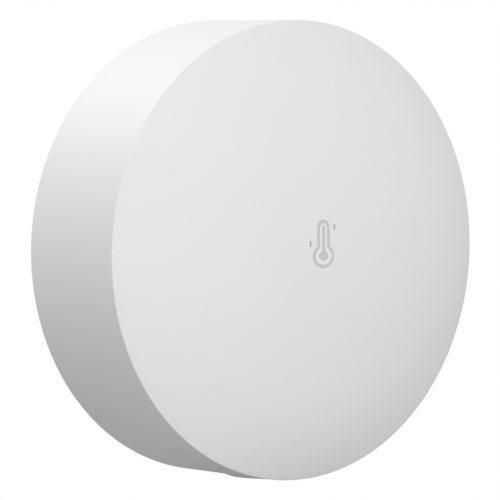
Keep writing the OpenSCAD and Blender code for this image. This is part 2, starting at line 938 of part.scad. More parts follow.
// Outline of the adhesive pad, or of its recess
module pad_outline(spare) {
    rounded_rect([pad_w + 2 * spare, pad_h + 2 * spare], pad_corner);
}

// Repeats its children at the two wall screws
module at_wall_screws() {
    for (x = [-screw_spacing / 2, screw_spacing / 2]) translate([x, 0, 0]) children();
}

// Plate that stays on the wall: floor, locking flange with notches, end stops, screw holes and vents
module wall_plate() {
    color("white")
        upright()
            difference() {
                union() {
                    rotate_extrude($fn = smooth_fn)
                        polygon([
                            [0, plate_z],
                            [plate_r - plate_bevel, plate_z],
                            [plate_r, plate_z + plate_bevel],
                            [plate_r, flange_top_z],
                            [flange_in, flange_top_z],
                            [flange_in, plate_top_z],
                            [0, plate_top_z]
                        ]);
                    translate([0, 0, plate_z])
                        at_wall_screws() cylinder(d = screw_boss_d, h = flange_top_z - plate_z);
                    at_lugs()
                        translate([0, 0, flange_z])
                            ring_sector(
                                flange_r, flange_root, flange_t,
                                twist_angle - lug_pitch / 2, lug_pitch - notch_angle
                            );
                    at_lugs()
                        translate([0, 0, rim_z])
                            for (direction = [-stop_offset, twist_angle + stop_offset])
                                ring_sector(stop_r, flange_root, lug_t + 2 * fit_gap, direction, stop_angle);
                }
                at_wall_screws() {
                    cylinder(d = screw_hole_d, h = flange_top_z + cut);
                    translate([0, 0, flange_top_z - sink_depth])
                        cylinder(d1 = screw_hole_d, d2 = screw_sink_d + 2 * cut, h = sink_depth + cut);
                }
                for (turn = [0, 180], i = [0:vent_count - 1])
                    rotate(turn) vent((i - (vent_count - 1) / 2) * vent_pitch);
                translate([0, 0, plate_z - cut]) linear_extrude(pad_recess + cut) pad_outline(seat_gap);
            }
}

// Double-sided foam pad that holds the plate to the wall
module adhesive_pad() {
    color("lightgray") upright() linear_extrude(pad_t) pad_outline(0);
}

front_shell();
light_guide();
battery_chassis();
cell_upper();
cell_lower();
positive_contact();
negative_contact();
negative_spring();
series_contact();
series_spring();
main_board();
radio_board();
radio_shield();
humidity_sensor();
status_led();
bulk_capacitor();
regulator();
chip_parts();
clamp_screws();
tact_switch();
switch_plunger();
pairing_key();
wall_plate();
adhesive_pad();
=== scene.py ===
"""Looks of a round wall sensor for room temperature and humidity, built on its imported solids.

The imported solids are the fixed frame. Each operator models one piece, or one group of like pieces,
and sets it on the body that carries it. Lengths are in metres: the wall is at y = 0, the face looks
along -Y and +Z is up. A distance from the wall is called a depth here, so y is minus the depth.
"""

import math

import bpy
from bpy.props import FloatProperty, FloatVectorProperty, IntProperty, PointerProperty
from bpy.types import NodeSocket, Operator, Panel, PropertyGroup
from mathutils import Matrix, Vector


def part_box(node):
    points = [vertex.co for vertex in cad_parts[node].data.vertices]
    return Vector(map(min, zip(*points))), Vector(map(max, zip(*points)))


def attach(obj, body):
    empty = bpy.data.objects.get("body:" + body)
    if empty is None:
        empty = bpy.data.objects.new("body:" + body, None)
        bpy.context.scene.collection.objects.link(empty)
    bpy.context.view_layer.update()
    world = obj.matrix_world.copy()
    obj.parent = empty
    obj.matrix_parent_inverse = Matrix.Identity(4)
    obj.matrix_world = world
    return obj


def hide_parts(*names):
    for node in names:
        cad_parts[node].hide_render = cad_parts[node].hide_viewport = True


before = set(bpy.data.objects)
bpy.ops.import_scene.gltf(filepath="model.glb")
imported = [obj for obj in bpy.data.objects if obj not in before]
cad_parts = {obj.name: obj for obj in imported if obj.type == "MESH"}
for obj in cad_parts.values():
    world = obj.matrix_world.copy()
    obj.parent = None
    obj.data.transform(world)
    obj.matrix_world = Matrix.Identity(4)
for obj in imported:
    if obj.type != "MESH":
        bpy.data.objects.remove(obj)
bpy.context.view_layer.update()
SHELL_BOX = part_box("front_shell")
KEY_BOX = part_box("pairing_key")
PLATE_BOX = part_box("wall_plate")
PAD_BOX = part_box("adhesive_pad")
MM = 0.001
SIDES = (-1, 1)
QUARTERS = tuple(math.pi / 2 * i for i in range(4))

# Corners closer than this are one corner
SAME_CORNER = 2e-7
# Shortest edges that are kept after solids are combined
FINE_EDGE = 0.005 * MM
COARSE_EDGE = 0.02 * MM
# Faces thinner than this are taken out
THIN_FACE = 0.0005 * MM
# Faces that turn by less than this lie in one plane
FLAT_TURN = math.radians(0.02)
# How far a tool stands past what it cuts, and how far the key hole's tool reaches in, past the rails
OVERRUN = 1 * MM
KEY_HOLE_REACH = 4 * MM
# How far an added solid is sunk into what carries it
SUNK = 0.5 * MM
# Sides of round solids
HOLE_SIDES = 32
ROD_SIDES = 48
DISC_SIDES = 96
PLATE_SIDES = 256
# Steps along the arcs of the shell's section, and the rings of its barrel
FACE_STEPS = 24
EDGE_STEPS = 8
RIM_STEPS = 6
INNER_SHOULDER_STEPS = 8
INNER_CROWN_STEPS = 12
BARREL_RINGS = 3
RING_PITCH = 4.3 * MM
# Steps along the smaller outlines
SECTOR_STEP = math.radians(2)
CORNER_STEPS = 12
KEY_LEVEL_STEPS = 10
KEY_RIM_STEPS = 12
EAR_STEPS = 32
STEM_STEPS = 24
BULB_STEPS = 64
TURN_STEPS = 48
FOAM_LAYERS = 4

bl_info = {
    "name": "Round climate sensor",
    "version": (1, 0, 0),
    "blender": (4, 5, 0),
    "location": "View3D > Sidebar > Climate sensor",
    "description": "Models a round wall sensor for room temperature and humidity on its packed solids",
    "category": "Object",
}

LENGTH = {"unit": "LENGTH", "precision": 6}


def length(name, description, default):
    """A length that a user may change."""
    return FloatProperty(name=name, description=description, default=default, **LENGTH)


def angle(name, description, degrees):
    """An angle that a user may change, given in degrees."""
    return FloatProperty(name=name, description=description, default=math.radians(degrees), unit="ROTATION")


def number(name, description, default, **settings):
    """A plain number that a user may change."""
    return FloatProperty(name=name, description=description, default=default, **settings)


def spot(name, description, default):
    """A place on the face that a user may change, right of the middle and above it."""
    return FloatVectorProperty(name=name, description=description, default=default, size=2, **LENGTH)


def colour(name, description, default):
    """A colour that a user may change, in linear light."""
    settings = {"subtype": "COLOR", "size": 4, "min": 0.0, "max": 1.0}
    return FloatVectorProperty(name=name, description=description, default=(*default, 1.0), **settings)


class ShellSizes(PropertyGroup):
    """Section of the front shell."""

    body_radius: length("Body radius", "Outside radius of the barrel", SHELL_BOX[1].x)
    rim_depth: length("Rim depth", "Depth of the rear rim", -SHELL_BOX[1].y)
    apex_depth: length("Apex depth", "Depth of the middle of the face", -SHELL_BOX[0].y)
    edge_depth: length("Edge depth", "Depth of the edge between the barrel and the face", 18.45 * MM)
    barrel_wall: length("Barrel wall", "Thickness of the barrel", 1.8 * MM)
    face_wall: length("Face wall", "Thickness of the face", 1.8 * MM)
    shoulder_width: length("Shoulder width", "Width of the tighter band round the face", 10 * MM)
    shoulder_rise: length("Shoulder rise", "Rise of the face within that band", 3.4 * MM)
    edge_round: length("Edge rounding", "Radius at the edge of the face", 0.15 * MM)
    rim_round: length("Rim rounding", "Radius at the rear rim", 0.15 * MM)
    steps: IntProperty(name="Steps", description="Steps round the shell", default=256, min=48, max=512)


class InsideSizes(PropertyGroup):
    """What is moulded on the inside of the front shell."""

    post_across: length("Post across", "Distance of a screw post from the middle, across", 11 * MM)
    post_up: length("Post up", "Distance of a screw post from the middle, upwards", 15.8 * MM)
    post_radius: length("Post radius", "Outside radius of a screw post", 2.3 * MM)
    post_depth: length("Post depth", "Depth at which a screw post ends on the board", 17.35 * MM)
    pilot_radius: length("Pilot radius", "Radius of a post's screw hole", 1.05 * MM)
    pilot_depth: length("Pilot depth", "Depth at which a post's screw hole ends", 19.9 * MM)
    collar_radius: length("Collar radius", "Outside radius of the light guide's collar", 2.6 * MM)
    collar_depth: length("Collar depth", "Depth at which the collar starts", 19.65 * MM)
    collar_cover: length("Collar cover", "Distance of the collar's root from the apex", 1 * MM)
    guide_radius: length("Guide radius", "Radius of the collar's bore", 1.55 * MM)
    guide_depth: length("Guide depth", "Depth at which the collar's bore ends", 22.85 * MM)
    lug_reach: length("Lug reach", "Reach of a twist lug inwards from the barrel", 1.8 * MM)
    lug_thickness: length("Lug thickness", "Thickness of a twist lug", 1.2 * MM)
    lug_span: angle("Lug span", "Angle that a twist lug spans", 20)
    lug_middle: angle("Lug middle", "Direction of the middle of the first lug", 45)


class KeySizes(PropertyGroup):
    """Round pairing key in the underside of the barrel."""

    radius: length("Radius", "Radius of the key", (KEY_BOX[1].y - KEY_BOX[0].y) / 2)
    depth: length("Depth", "Depth of the key's middle", -(KEY_BOX[1].y + KEY_BOX[0].y) / 2)
    gap: length("Gap", "Gap between the key and its hole", 0.2 * MM)
    proud_rear: length("Proud at the wall", "How far the key stands out in its level part", 0.28 * MM)
    proud_front: length("Proud at the face", "How far it stands out at its end towards the face", 0.09 * MM)
    level_share: number(
        "Level share", "Share of the key that is level, from its end towards the wall", 0.55,
        min=0.0, max=0.9
    )
    rim_drop: length("Rim drop", "How far the rim of the level part falls", 0.26 * MM)
    rim_across: length("Rim across", "Width of the band in which the rim falls", 1.3 * MM)
    ear_inner: length("Ear inside", "Inside radius of the ears that hold the key in", 26.9 * MM)
    ear_outer: length("Ear outside", "Outside radius of the ears", 27.9 * MM)
    ear_height: length("Ear height", "Size of the ears along the depth", 6 * MM)
    ear_width: length("Ear width", "Size of the ears across", KEY_BOX[1].x - KEY_BOX[0].x)
    ear_lap: length("Ear lap", "Distance of the cap's inside from the inside of the ears", 0.05 * MM)
    rail_gap: length("Rail gap", "Gap between an ear and the rail beside it", 0.3 * MM)
    rail_thickness: length("Rail thickness", "Thickness of the rails beside the ears", 0.8 * MM)
    rail_length: length("Rail length", "How far the rails stand in from the barrel", 2.4 * MM)
    boss_radius: length("Boss radius", "Radius of the boss that meets the switch", 1.5 * MM)
    boss_depth: length("Boss depth", "Depth of the boss's axis", 12.15 * MM)


class SignSizes(PropertyGroup):
    """Printed thermometer sign, measured from the middle of the face."""

    stem_width: length("Stem width", "Outside width of the stem", 2.08 * MM)
    stem_top: length("Stem top", "Height of the top of the stem", 4.2 * MM)
    across: length("Across", "Distance of the thermometer right of the middle", 0.04 * MM)
    bulb_radius: length("Bulb radius", "Outside radius of the bulb, upwards", 1.59 * MM)
    bulb_height: length("Bulb height", "Height of the bulb's middle", -0.50 * MM)
    bulb_stretch: number("Bulb stretch", "Width of the bulb over its height", 1.11)
    stroke: length("Stroke", "Width of the printed outline", 0.46 * MM)
    column_width: length("Column width", "Width of the printed column", 0.50 * MM)
    column_top: length("Column top", "Height of the top of the column", 3.5 * MM)
    column_bulb: length("Column bulb", "Radius of the column's bulb, upwards", 0.63 * MM)
    column_stretch: number("Column stretch", "Width of the column's bulb over its height", 1.24)
    dash_width: length("Dash width", "Width of a scale mark", 0.22 * MM)
    dash_length: length("Dash length", "Length of a scale mark", 0.8 * MM)
    dash_round: number("Dash rounding", "Rounding of a scale mark's corners over its width", 0.3)
    left_dash: spot("Left dash", "Place of the left scale mark", (-2.12 * MM, 1.12 * MM))
    right_dash: spot("Right dash", "Place of the right scale mark", (1.90 * MM, 3.21 * MM))
    film: length("Film", "Thickness of one layer of ink", 0.01 * MM)


class PlateSizes(PropertyGroup):
    """Wall plate with its locking flange. Directions are counted from +X towards +Z."""

    rear_depth: length("Rear depth", "Depth of the plate's rear face", -PLATE_BOX[1].y)
    floor_depth: length("Floor depth", "Depth of the front of the plate's floor", 2.5 * MM)
    front_depth: length("Front depth", "Depth of the front of the flange and the bosses", -PLATE_BOX[0].y)
    radius: length("Radius", "Outside radius of the plate", 26.1 * MM)
    bevel: length("Bevel", "Bevel round the rear edge", 0.5 * MM)
    ring_inside: length("Ring inside", "Inside radius of the ring that carries the flange", 24.5 * MM)
    flange_outside: length("Flange outside", "Outside radius of the locking flange", 27.9 * MM)
    flange_depth: length("Flange depth", "Depth of the rear of the flange", 2.3 * MM)
    flange_middle: angle("Flange middle", "Direction of the middle of the flange's first sector", 24)
    flange_span: angle("Flange span", "Angle that one sector of the flange spans", 68)
    stop_outside: length("Stop outside", "Outside radius of an end stop", 27.6 * MM)
    stop_rear: length("Stop rear", "Depth of the rear of an end stop", 0.8 * MM)
    stop_front: length("Stop front", "Depth of the front of an end stop", 2.6 * MM)
    stop_span: angle("Stop span", "Angle that an end stop spans", 3)
    first_stop: angle("First stop", "Direction of the stop at the closed end", 32)
    second_stop: angle("Second stop", "Direction of the stop at the open end", 82)
    screw_across: length("Screw across", "Distance of a wall screw from the middle", 18 * MM)
    screw_radius: length("Screw radius", "Radius of a wall screw's hole", 2 * MM)
    sink_radius: length("Countersink radius", "Radius of the countersink for a screw's head", 3.6 * MM)
    boss_radius: length("Boss radius", "Radius of the boss round a screw's hole", 4.8 * MM)
    vent_count: IntProperty(name="Vents", description="Air slots in each row", default=5, min=1, max=9)
    vent_pitch: length("Vent pitch", "Distance from one air slot to the next", 6 * MM)
    vent_width: length("Vent width", "Width of an air slot", 1.6 * MM)
    vent_length: length("Vent length", "Length of an air slot", 6 * MM)
    vent_reach: length("Vent reach", "Radius of the circle on which the air slots end", 22.5 * MM)
    recess_width: length("Recess width", "Width of the pad's recess", 28.3 * MM)
    recess_height: length("Recess height", "Height of the pad's recess", 18.3 * MM)
    recess_corner: length("Recess corner", "Corner radius of the pad's recess", 3 * MM)
    recess_depth: length("Recess depth", "Depth of the recess's floor", 1 * MM)
    edge: length("Edge", "Rounding along the plate's edges", 0.1 * MM)


class PadSizes(PropertyGroup):
    """Double-sided foam pad."""

    corner: length("Corner", "Radius of the pad's corners", 3 * MM)
    edge: length("Edge", "Rounding of the pad's edges", 0.12 * MM)
    waist: length("Waist", "How far the foam draws in between its two faces", 0.1 * MM)


class SpringSizes(PropertyGroup):
    """Conical springs that press on the flat ends of the cells."""

    foot_radius: length("Foot radius", "Radius of the wide turn on the contact", 3.6 * MM)
    tip_radius: length("Tip radius", "Radius of the narrow turn on the cell", 1.6 * MM)
    fitted_length: length("Fitted length", "Length of a spring with the cell in place", 2.5 * MM)
    wire: length("Wire", "Diameter of the wire", 0.5 * MM)
    turns: number("Turns", "Turns of wire in a spring", 2.5, min=1.0, max=8.0)


class Colours(PropertyGroup):
    """Colours of the finishes, in linear light."""

    shell: colour("Shell", "White plastic of the front shell", (0.80, 0.80, 0.80))
    key: colour("Key", "White plastic of the pairing key", (0.79, 0.79, 0.79))
    plate: colour("Plate", "White plastic of the wall plate", (0.77, 0.77, 0.76))
    foam: colour("Foam", "Foam of the adhesive pad", (0.62, 0.62, 0.60))
    outline: colour("Outline", "Grey ink of the sign's outline and column", (0.59, 0.59, 0.59))
    window: colour("Window", "Pale ink inside the sign's outline", (0.84, 0.84, 0.84))
    dash: colour("Dash", "Darker ink of the scale marks", (0.37, 0.37, 0.37))
    chassis: colour("Chassis", "Grey plastic of the battery tray", (0.42, 0.43, 0.44))
    sleeve: colour("Sleeve", "Body colour of the cells' sleeves", (0.07, 0.20, 0.13))
    band: colour("Band", "Band on the cells' sleeves", (0.62, 0.56, 0.40))
    mask: colour("Solder mask", "Lacquer of the circuit board", (0.010, 0.085, 0.040))
    radio_mask: colour("Radio mask", "Lacquer of the radio's carrier", (0.006, 0.045, 0.030))
    cell_steel: colour("Cell steel", "Bare ends of the cells", (0.60, 0.59, 0.56))
    tinned: colour("Tinned copper", "Rings round the clamp screws", (0.70, 0.69, 0.66))
    gilt: colour("Gilt", "Pads of the radio's carrier", (0.72, 0.55, 0.22))
    solder: colour("Solder", "Ends of the small parts", (0.62, 0.62, 0.60))


class StageSizes(PropertyGroup):
    """Camera, floor and lights."""

    turn: angle("Turn", "Turn of the camera round the object", -39.033)
    rise: angle("Rise", "Rise of the camera above the horizon", 2.829)
    distance: length("Distance", "Distance of the camera from the middle of the face's edge", 0.5215)
    lens: number("Lens", "Focal length in millimetres", 288.2, unit="CAMERA")
    sensor: number("Sensor", "Width of the camera's sensor in millimetres", 36.0, unit="CAMERA")
    near: length("Near", "Nearest distance that the camera sees", 0.01)
    far: length("Far", "Farthest distance that the camera sees", 20.0)
    aim_right: number("Aim right", "Place of that middle right of the frame's", 0.011783)
    aim_down: number("Aim down", "Place of that middle below the frame's", 0.000118)
    floor_drop: length("Floor drop", "Distance of the floor below the object's middle", 0.16)
    floor_radius: length("Floor radius", "Radius of the round floor", 1.1)
    floor_shown: colour("Floor", "White of the floor in the picture", (0.86, 0.86, 0.86))
    floor_bounce: colour("Floor bounce", "Grey of the floor for light thrown back", (0.34, 0.34, 0.34))
    card_drop: length("Card drop", "Distance of the dark card below the object's middle", 0.046)
    card_forward: length("Card forward", "Distance of the dark card's middle in front of the wall", 0.019)
    card_aside: length("Card aside", "Distance of the dark card's middle right of the object's", 0.005)
    card_width: length("Card width", "Side of the square dark card", 0.030)
    card_grey: colour("Card", "Grey of the dark card that shades the object from below", (0.03, 0.03, 0.03))
    ambient: number("Ambient", "Strength of the even light from all sides", 0.4)
    lamp_aim: length("Lamp aim", "Depth of the point at which the lamps are aimed", 12 * MM)
    lamp_distance: length("Lamp distance", "Distance of each lamp from that point", 0.8)
    lamp_size: length("Lamp size", "Side of each square lamp", 0.45)


def select_only(obj):
    """Deselects everything, then selects one object and makes it active."""
    bpy.ops.object.select_all(action="DESELECT")
    obj.select_set(True)
    bpy.context.view_layer.objects.active = obj


def edit(obj):
    """Opens an object in edit mode with all of it selected."""
    select_only(obj)
    bpy.ops.object.mode_set(mode="EDIT")
    bpy.ops.mesh.select_all(action="SELECT")


def leave_edit():
    """Goes back to object mode."""
    bpy.ops.object.mode_set(mode="OBJECT")


def start_from(primitive, name, scale=(1.0, 1.0, 1.0), **settings):
    """A named object that starts from a primitive, with its place, turn and scale in its mesh."""
    bpy.ops.object.select_all(action="DESELECT")
    primitive(**settings)
    piece = bpy.context.object
    piece.name = name
    piece.scale = scale
    bpy.ops.object.transform_apply(location=True, rotation=True, scale=True)
    return piece


def draw_line(name, points):
    """A chain of edges, drawn by extruding one corner from point to point. It is left in edit mode."""
    line = start_from(bpy.ops.mesh.primitive_plane_add, name, size=MM, location=points[0])
    edit(line)
    bpy.ops.mesh.merge(type="CENTER")
    for here, there in zip(points, points[1:]):
        step = Vector(there) - Vector(here)
        bpy.ops.mesh.extrude_vertices_move(TRANSFORM_OT_translate={"value": step})
    bpy.ops.mesh.select_all(action="SELECT")
    return line


def draw_face(name, points):
    """A flat face inside a closed chain of edges. It is left in edit mode with all of it selected."""
    face = draw_line(name, points)
    bpy.ops.mesh.edge_face_add()
    bpy.ops.mesh.select_all(action="SELECT")
    return face


def close_mesh():
    """Merges doubles, turns the faces outwards and goes back to object mode."""
    bpy.ops.mesh.select_all(action="SELECT")
    bpy.ops.mesh.remove_doubles(threshold=SAME_CORNER)
    bpy.ops.mesh.normals_make_consistent(inside=False)
    leave_edit()


def revolve(name, section, steps, axis=(0, 1, 0), centre=(0, 0, 0)):
    """A closed round piece, spun from a section whose two ends lie on the axis."""
    piece = draw_line(name, section)
    bpy.ops.mesh.spin(steps=steps, angle=math.tau, center=centre, axis=axis)
    close_mesh()
    return piece


def ring_sector(name, inner, outer, rear, front, middle, span):
    """Part of a ring round the depth axis, spun from its end face and closed at both ends."""
    start = middle - span / 2
    corners = [(inner, rear), (outer, rear), (outer, front), (inner, front)]
    points = [(r * math.cos(start), -depth, r * math.sin(start)) for r, depth in corners]
    piece = draw_face(name, points)
    steps = max(4, round(span / SECTOR_STEP))
    bpy.ops.mesh.spin(steps=steps, angle=span, center=(0, 0, 0), axis=(0, 1, 0))
    bpy.ops.mesh.select_all(action="SELECT")
    bpy.ops.mesh.remove_doubles(threshold=SAME_CORNER)
    bpy.ops.mesh.select_all(action="DESELECT")
    bpy.ops.mesh.select_non_manifold(extend=False)
    bpy.ops.mesh.edge_face_add()
    close_mesh()
    return piece


def prism(name, outline, rear, front):
    """A solid between two depths inside an outline of (x, z) points."""
    piece = draw_face(name, [(x, -rear, z) for x, z in outline])
    bpy.ops.mesh.extrude_region_move(TRANSFORM_OT_translate={"value": (0, rear - front, 0)})
    close_mesh()
    return piece


def round_corners(corners, radius):
    """Points round a convex outline whose corners are arcs with the given middles, starts and spans."""
    points = []
    for x, z, start, span in corners:
        turns = (start + span * i / CORNER_STEPS for i in range(CORNER_STEPS + 1))
        points += [(x + radius * math.cos(a), z + radius * math.sin(a)) for a in turns]
    return points


def wire(name, points, radius):
    """A round wire along a line of points, closed at both ends."""
    line = draw_line(name, points)
    leave_edit()
    select_only(line)
    bpy.ops.object.convert(target="CURVE")
    curve = bpy.context.object.data
    curve.bevel_depth = radius
    curve.bevel_resolution = 3
    curve.use_fill_caps = True
    bpy.ops.object.convert(target="MESH")
    piece = bpy.context.object
    edit(piece)
    close_mesh()
    smooth(piece, 60)
    return piece


def rod(name, radius, start, end, sides=ROD_SIDES):
    """A round rod from one point to another."""
    start = Vector(start)
    axis = Vector(end) - start
    return start_from(
        bpy.ops.mesh.primitive_cylinder_add, name, vertices=sides, radius=radius, depth=axis.length,
        location=start + axis / 2, rotation=axis.to_track_quat("Z", "Y").to_euler()
    )


def join(pieces):
    """Makes one object of several."""
    select_only(pieces[0])
    for piece in pieces:
        piece.select_set(True)
    bpy.ops.object.join()
    return pieces[0]


def apply_modifier(piece, kind, **settings):
    """Adds a modifier with these settings and applies it."""
    select_only(piece)
    modifier = piece.modifiers.new(kind.lower(), kind)
    for name, value in settings.items():
        setattr(modifier, name, value)
    bpy.ops.object.modifier_apply(modifier=modifier.name)


def combine(piece, tool, operation):
    """Joins a tool to a piece or cuts it from the piece. The tool is used up."""
    apply_modifier(piece, "BOOLEAN", operation=operation, solver="EXACT", object=tool)
    bpy.data.objects.remove(tool)


def clean(piece, least):
    """Merges corners that lie closer than the least distance, and faces that lie in one plane."""
    edit(piece)
    bpy.ops.mesh.remove_doubles(threshold=least)
    bpy.ops.mesh.dissolve_degenerate(threshold=least)
    bpy.ops.mesh.select_all(action="SELECT")
    bpy.ops.mesh.dissolve_limited(angle_limit=FLAT_TURN)
    bpy.ops.mesh.delete_loose()
    leave_edit()


def split_faces(piece):
    """Splits all faces into triangles and takes out the thinnest."""
    edit(piece)
    bpy.ops.mesh.quads_convert_to_tris(quad_method="BEAUTY", ngon_method="BEAUTY")
    bpy.ops.mesh.select_all(action="SELECT")
    bpy.ops.mesh.dissolve_degenerate(threshold=THIN_FACE)
    leave_edit()


def smooth(piece, degrees):
    """Shades a piece smooth, except across edges that turn by more than an angle."""
    select_only(piece)
    bpy.ops.object.shade_smooth_by_angle(angle=math.radians(degrees))


def dress(piece, material):
    """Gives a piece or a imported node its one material."""
    piece.data.materials.clear()
    piece.data.materials.append(material)


def settle(piece, body, material):
    """Sets a finished piece on the body that carries it."""
    dress(piece, material)
    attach(piece, body)


def feed(tree, node, inputs):
    """Links an input that is given another node's output, and sets any other input to its value."""
    for name, value in inputs.items():
        if isinstance(value, NodeSocket):
            tree.links.new(value, node.inputs[name])
        else:
            node.inputs[name].default_value = value


def add_node(tree, kind, inputs, **settings):
    """Adds a shader node, sets it and feeds it. Returns its outputs."""
    node = tree.nodes.new(f"ShaderNode{kind}")
    for name, value in settings.items():
        setattr(node, name, value)
    feed(tree, node, inputs)
    return node.outputs


def new_material(name):
    """A new procedural material, its node tree and the piece's own coordinates."""
    material = bpy.data.materials.new(name)
    material.use_nodes = True
    tree = material.node_tree
    return material, tree, add_node(tree, "TexCoord", {})["Object"]


def fill_shader(material, inputs):
    """Sets or links the inputs of a material's shader, and returns the material."""
    tree = material.node_tree
    feed(tree, tree.nodes["Principled BSDF"], inputs)
    return material


def noise(tree, place, scale, detail=2.0, rough=0.5):
    """Noise on the piece's own coordinates, with its scale in cells a metre."""
    inputs = {"Vector": place, "Scale": scale, "Detail": detail, "Roughness": rough}
    return add_node(tree, "TexNoise", inputs)["Fac"]


def spread(tree, value, low, high, start=0.3, end=0.7):
    """Maps a value between start and end onto the range from low to high."""
    inputs = {"Value": value, "From Min": start, "From Max": end, "To Min": low, "To Max": high}
    return add_node(tree, "MapRange", inputs)["Result"]


def above(tree, value, edge, blur):
    """0 below an edge and 1 above it, with a narrow blur between."""
    return spread(tree, value, 0.0, 1.0, edge - blur, edge + blur)


def below(tree, value, edge, blur):
    """1 below an edge and 0 above it, with a narrow blur between."""
    return spread(tree, value, 1.0, 0.0, edge - blur, edge + blur)


def calculate(tree, operation, *values):
    """The result of one operation on values."""
    return add_node(tree, "Math", dict(enumerate(values)), operation=operation)["Value"]


def both(tree, first, second):
    """The product of two values from 0 to 1."""
    return calculate(tree, "MULTIPLY", first, second)


# A reach past the ends of every piece, so that a row has one middle only
WHOLE = 1.0


def fold(tree, value, middle, reach=WHOLE):
    """Distance of a coordinate from the nearest of a row of middles, which lie two reaches apart."""
    return calculate(tree, "PINGPONG", calculate(tree, "SUBTRACT", value, middle), reach)


def along(tree, place, axis):
    """One of the piece's own coordinates."""
    return add_node(tree, "SeparateXYZ", {"Vector": place})[axis]


def distance(tree, place, point):
    """Distance of a place from a point."""
    return add_node(tree, "VectorMath", {0: place, 1: point}, operation="DISTANCE")["Value"]


def blend_colours(tree, value, first, second):
    """A colour between two, by a value from 0 to 1."""
    return add_node(tree, "Mix", {"Factor": value, "A": first, "B": second}, data_type="RGBA")["Result"]


def shade(tint, factor):
    """A colour made darker or lighter by a factor."""
    return (*(min(1.0, factor * c) for c in tint[:3]), 1.0)


def mottle(tree, value, tint, dark, light):
    """A colour that wavers between a darker and a lighter shade with a noise value."""
    return blend_colours(tree, spread(tree, value, 0.0, 1.0), shade(tint, dark), shade(tint, light))


def relief(tree, height, strength, depth):
    """Fine relief on the surface, from a height value."""
    return add_node(tree, "Bump", {"Height": height, "Strength": strength, "Distance": depth})["Normal"]


def bare_where(tree, value, coat, metal):
    """Shader inputs that show bare metal in place of a coat, where a value is 1."""
    return {"Base Color": blend_colours(tree, value, coat, metal), "Metallic": value}


# Refraction and gloss of satin plastic and of ink
SATIN = {"IOR": 1.47, "Specular IOR Level": 0.25}


def moulded_plastic(name, tint, rough, grain):
    """Satin moulded plastic: spark-eroded grain, faint flow clouds and uneven gloss."""
    material, tree, place = new_material(name)
    clouds = noise(tree, place, 45.0)
    uneven = noise(tree, place, 160.0, detail=3.0)
    sparks = noise(tree, place, 5200.0, rough=0.6)
    return fill_shader(material, {
        "Base Color": mottle(tree, clouds, tint, 0.99, 1.01),
        "Roughness": spread(tree, uneven, *rough),
        "Normal": relief(tree, sparks, 0.25, grain),
        **SATIN,
    })


def printed_ink(name, tint):
    """Flat screen-printed ink with a fine mesh in its gloss."""
    material, tree, place = new_material(name)
    specks = noise(tree, place, 3000.0)
    return fill_shader(material, {
        "Base Color": mottle(tree, specks, tint, 0.98, 1.02),
        "Roughness": spread(tree, specks, 0.54, 0.62),
        "Normal": relief(tree, specks, 0.15, 0.004 * MM),
        **SATIN,
    })


def foam(name, tint):
    """Closed-cell foam: small round cells, dull and slightly uneven, with painted shade darkening the pit
    of each cell.
    """
    material, tree, place = new_material(name)
    cells = add_node(tree, "TexVoronoi", {"Vector": place, "Scale": 4200.0})["Distance"]
    cell_height_and_pit_shade = spread(tree, cells, 0.0, 1.0, 0.0, 0.6)
    return fill_shader(material, {
        # Painted shade: the colour darkens into each cell's pit, where the bump sinks the surface.
        "Base Color": blend_colours(tree, cell_height_and_pit_shade, shade(tint, 0.86), shade(tint, 1.05)),
        "Roughness": spread(tree, cell_height_and_pit_shade, 0.95, 0.75, 0.0, 1.0),
        "Normal": relief(tree, cell_height_and_pit_shade, 0.6, 0.08 * MM),
    })


def bare_metal(name, tint, rough, scale):
    """Plated or rolled metal with fine uneven gloss."""
    material, tree, place = new_material(name)
    film = noise(tree, place, scale, detail=3.0)
    fine = noise(tree, place, 4.0 * scale)
    return fill_shader(material, {
        "Base Color": mottle(tree, film, tint, 0.92, 1.05),
        "Roughness": spread(tree, film, *rough),
        "Normal": relief(tree, fine, 0.2, 0.006 * MM),
        "Metallic": 1.0,
    })


# Places along a cell, from its middle towards its positive end
BAND_START = 11.5 * MM
SLEEVE_END = 20.9 * MM
SLEEVE_START = -21.9 * MM


def cell_sleeve(name, colours, centre, nub_side):
    """Printed sleeve of a cell: a coloured body, a pale band at the positive end and bare steel ends."""
    material, tree, place = new_material(name)
    run = calculate(tree, "MULTIPLY_ADD", along(tree, place, "X"), nub_side, -nub_side * centre)
    band = above(tree, run, BAND_START, 0.05 * MM)
    nub_end = above(tree, run, SLEEVE_END, 0.03 * MM)
    flat_end = below(tree, run, SLEEVE_START, 0.05 * MM)
    bare = calculate(tree, "MAXIMUM", nub_end, flat_end)
    printed = blend_colours(tree, band, colours.sleeve, colours.band)
    film = noise(tree, place, 300.0)
    return fill_shader(material, {
        **bare_where(tree, bare, printed, colours.cell_steel),
        "Roughness": spread(tree, film, 0.26, 0.36),
        "Normal": relief(tree, film, 0.1, 0.01 * MM),
    })


def copper_runs(tree, place):
    """Value of 1 along the copper runs under the lacquer, which turn at right angles."""
    turned = add_node(tree, "Mapping", {"Vector": place, "Rotation": (math.pi / 2, 0.0, 0.0)})["Vector"]
    black, white = (0.0, 0.0, 0.0, 1.0), (1.0, 1.0, 1.0, 1.0)
    inputs = {"Vector": turned, "Scale": 140.0, "Mortar Size": 0.06}
    inputs |= {"Color1": black, "Color2": black, "Mortar": white}
    return add_node(tree, "TexBrick", inputs)["Color"]


# Radius of the bare ring round a clamp screw
SCREW_RING = 2.475 * MM


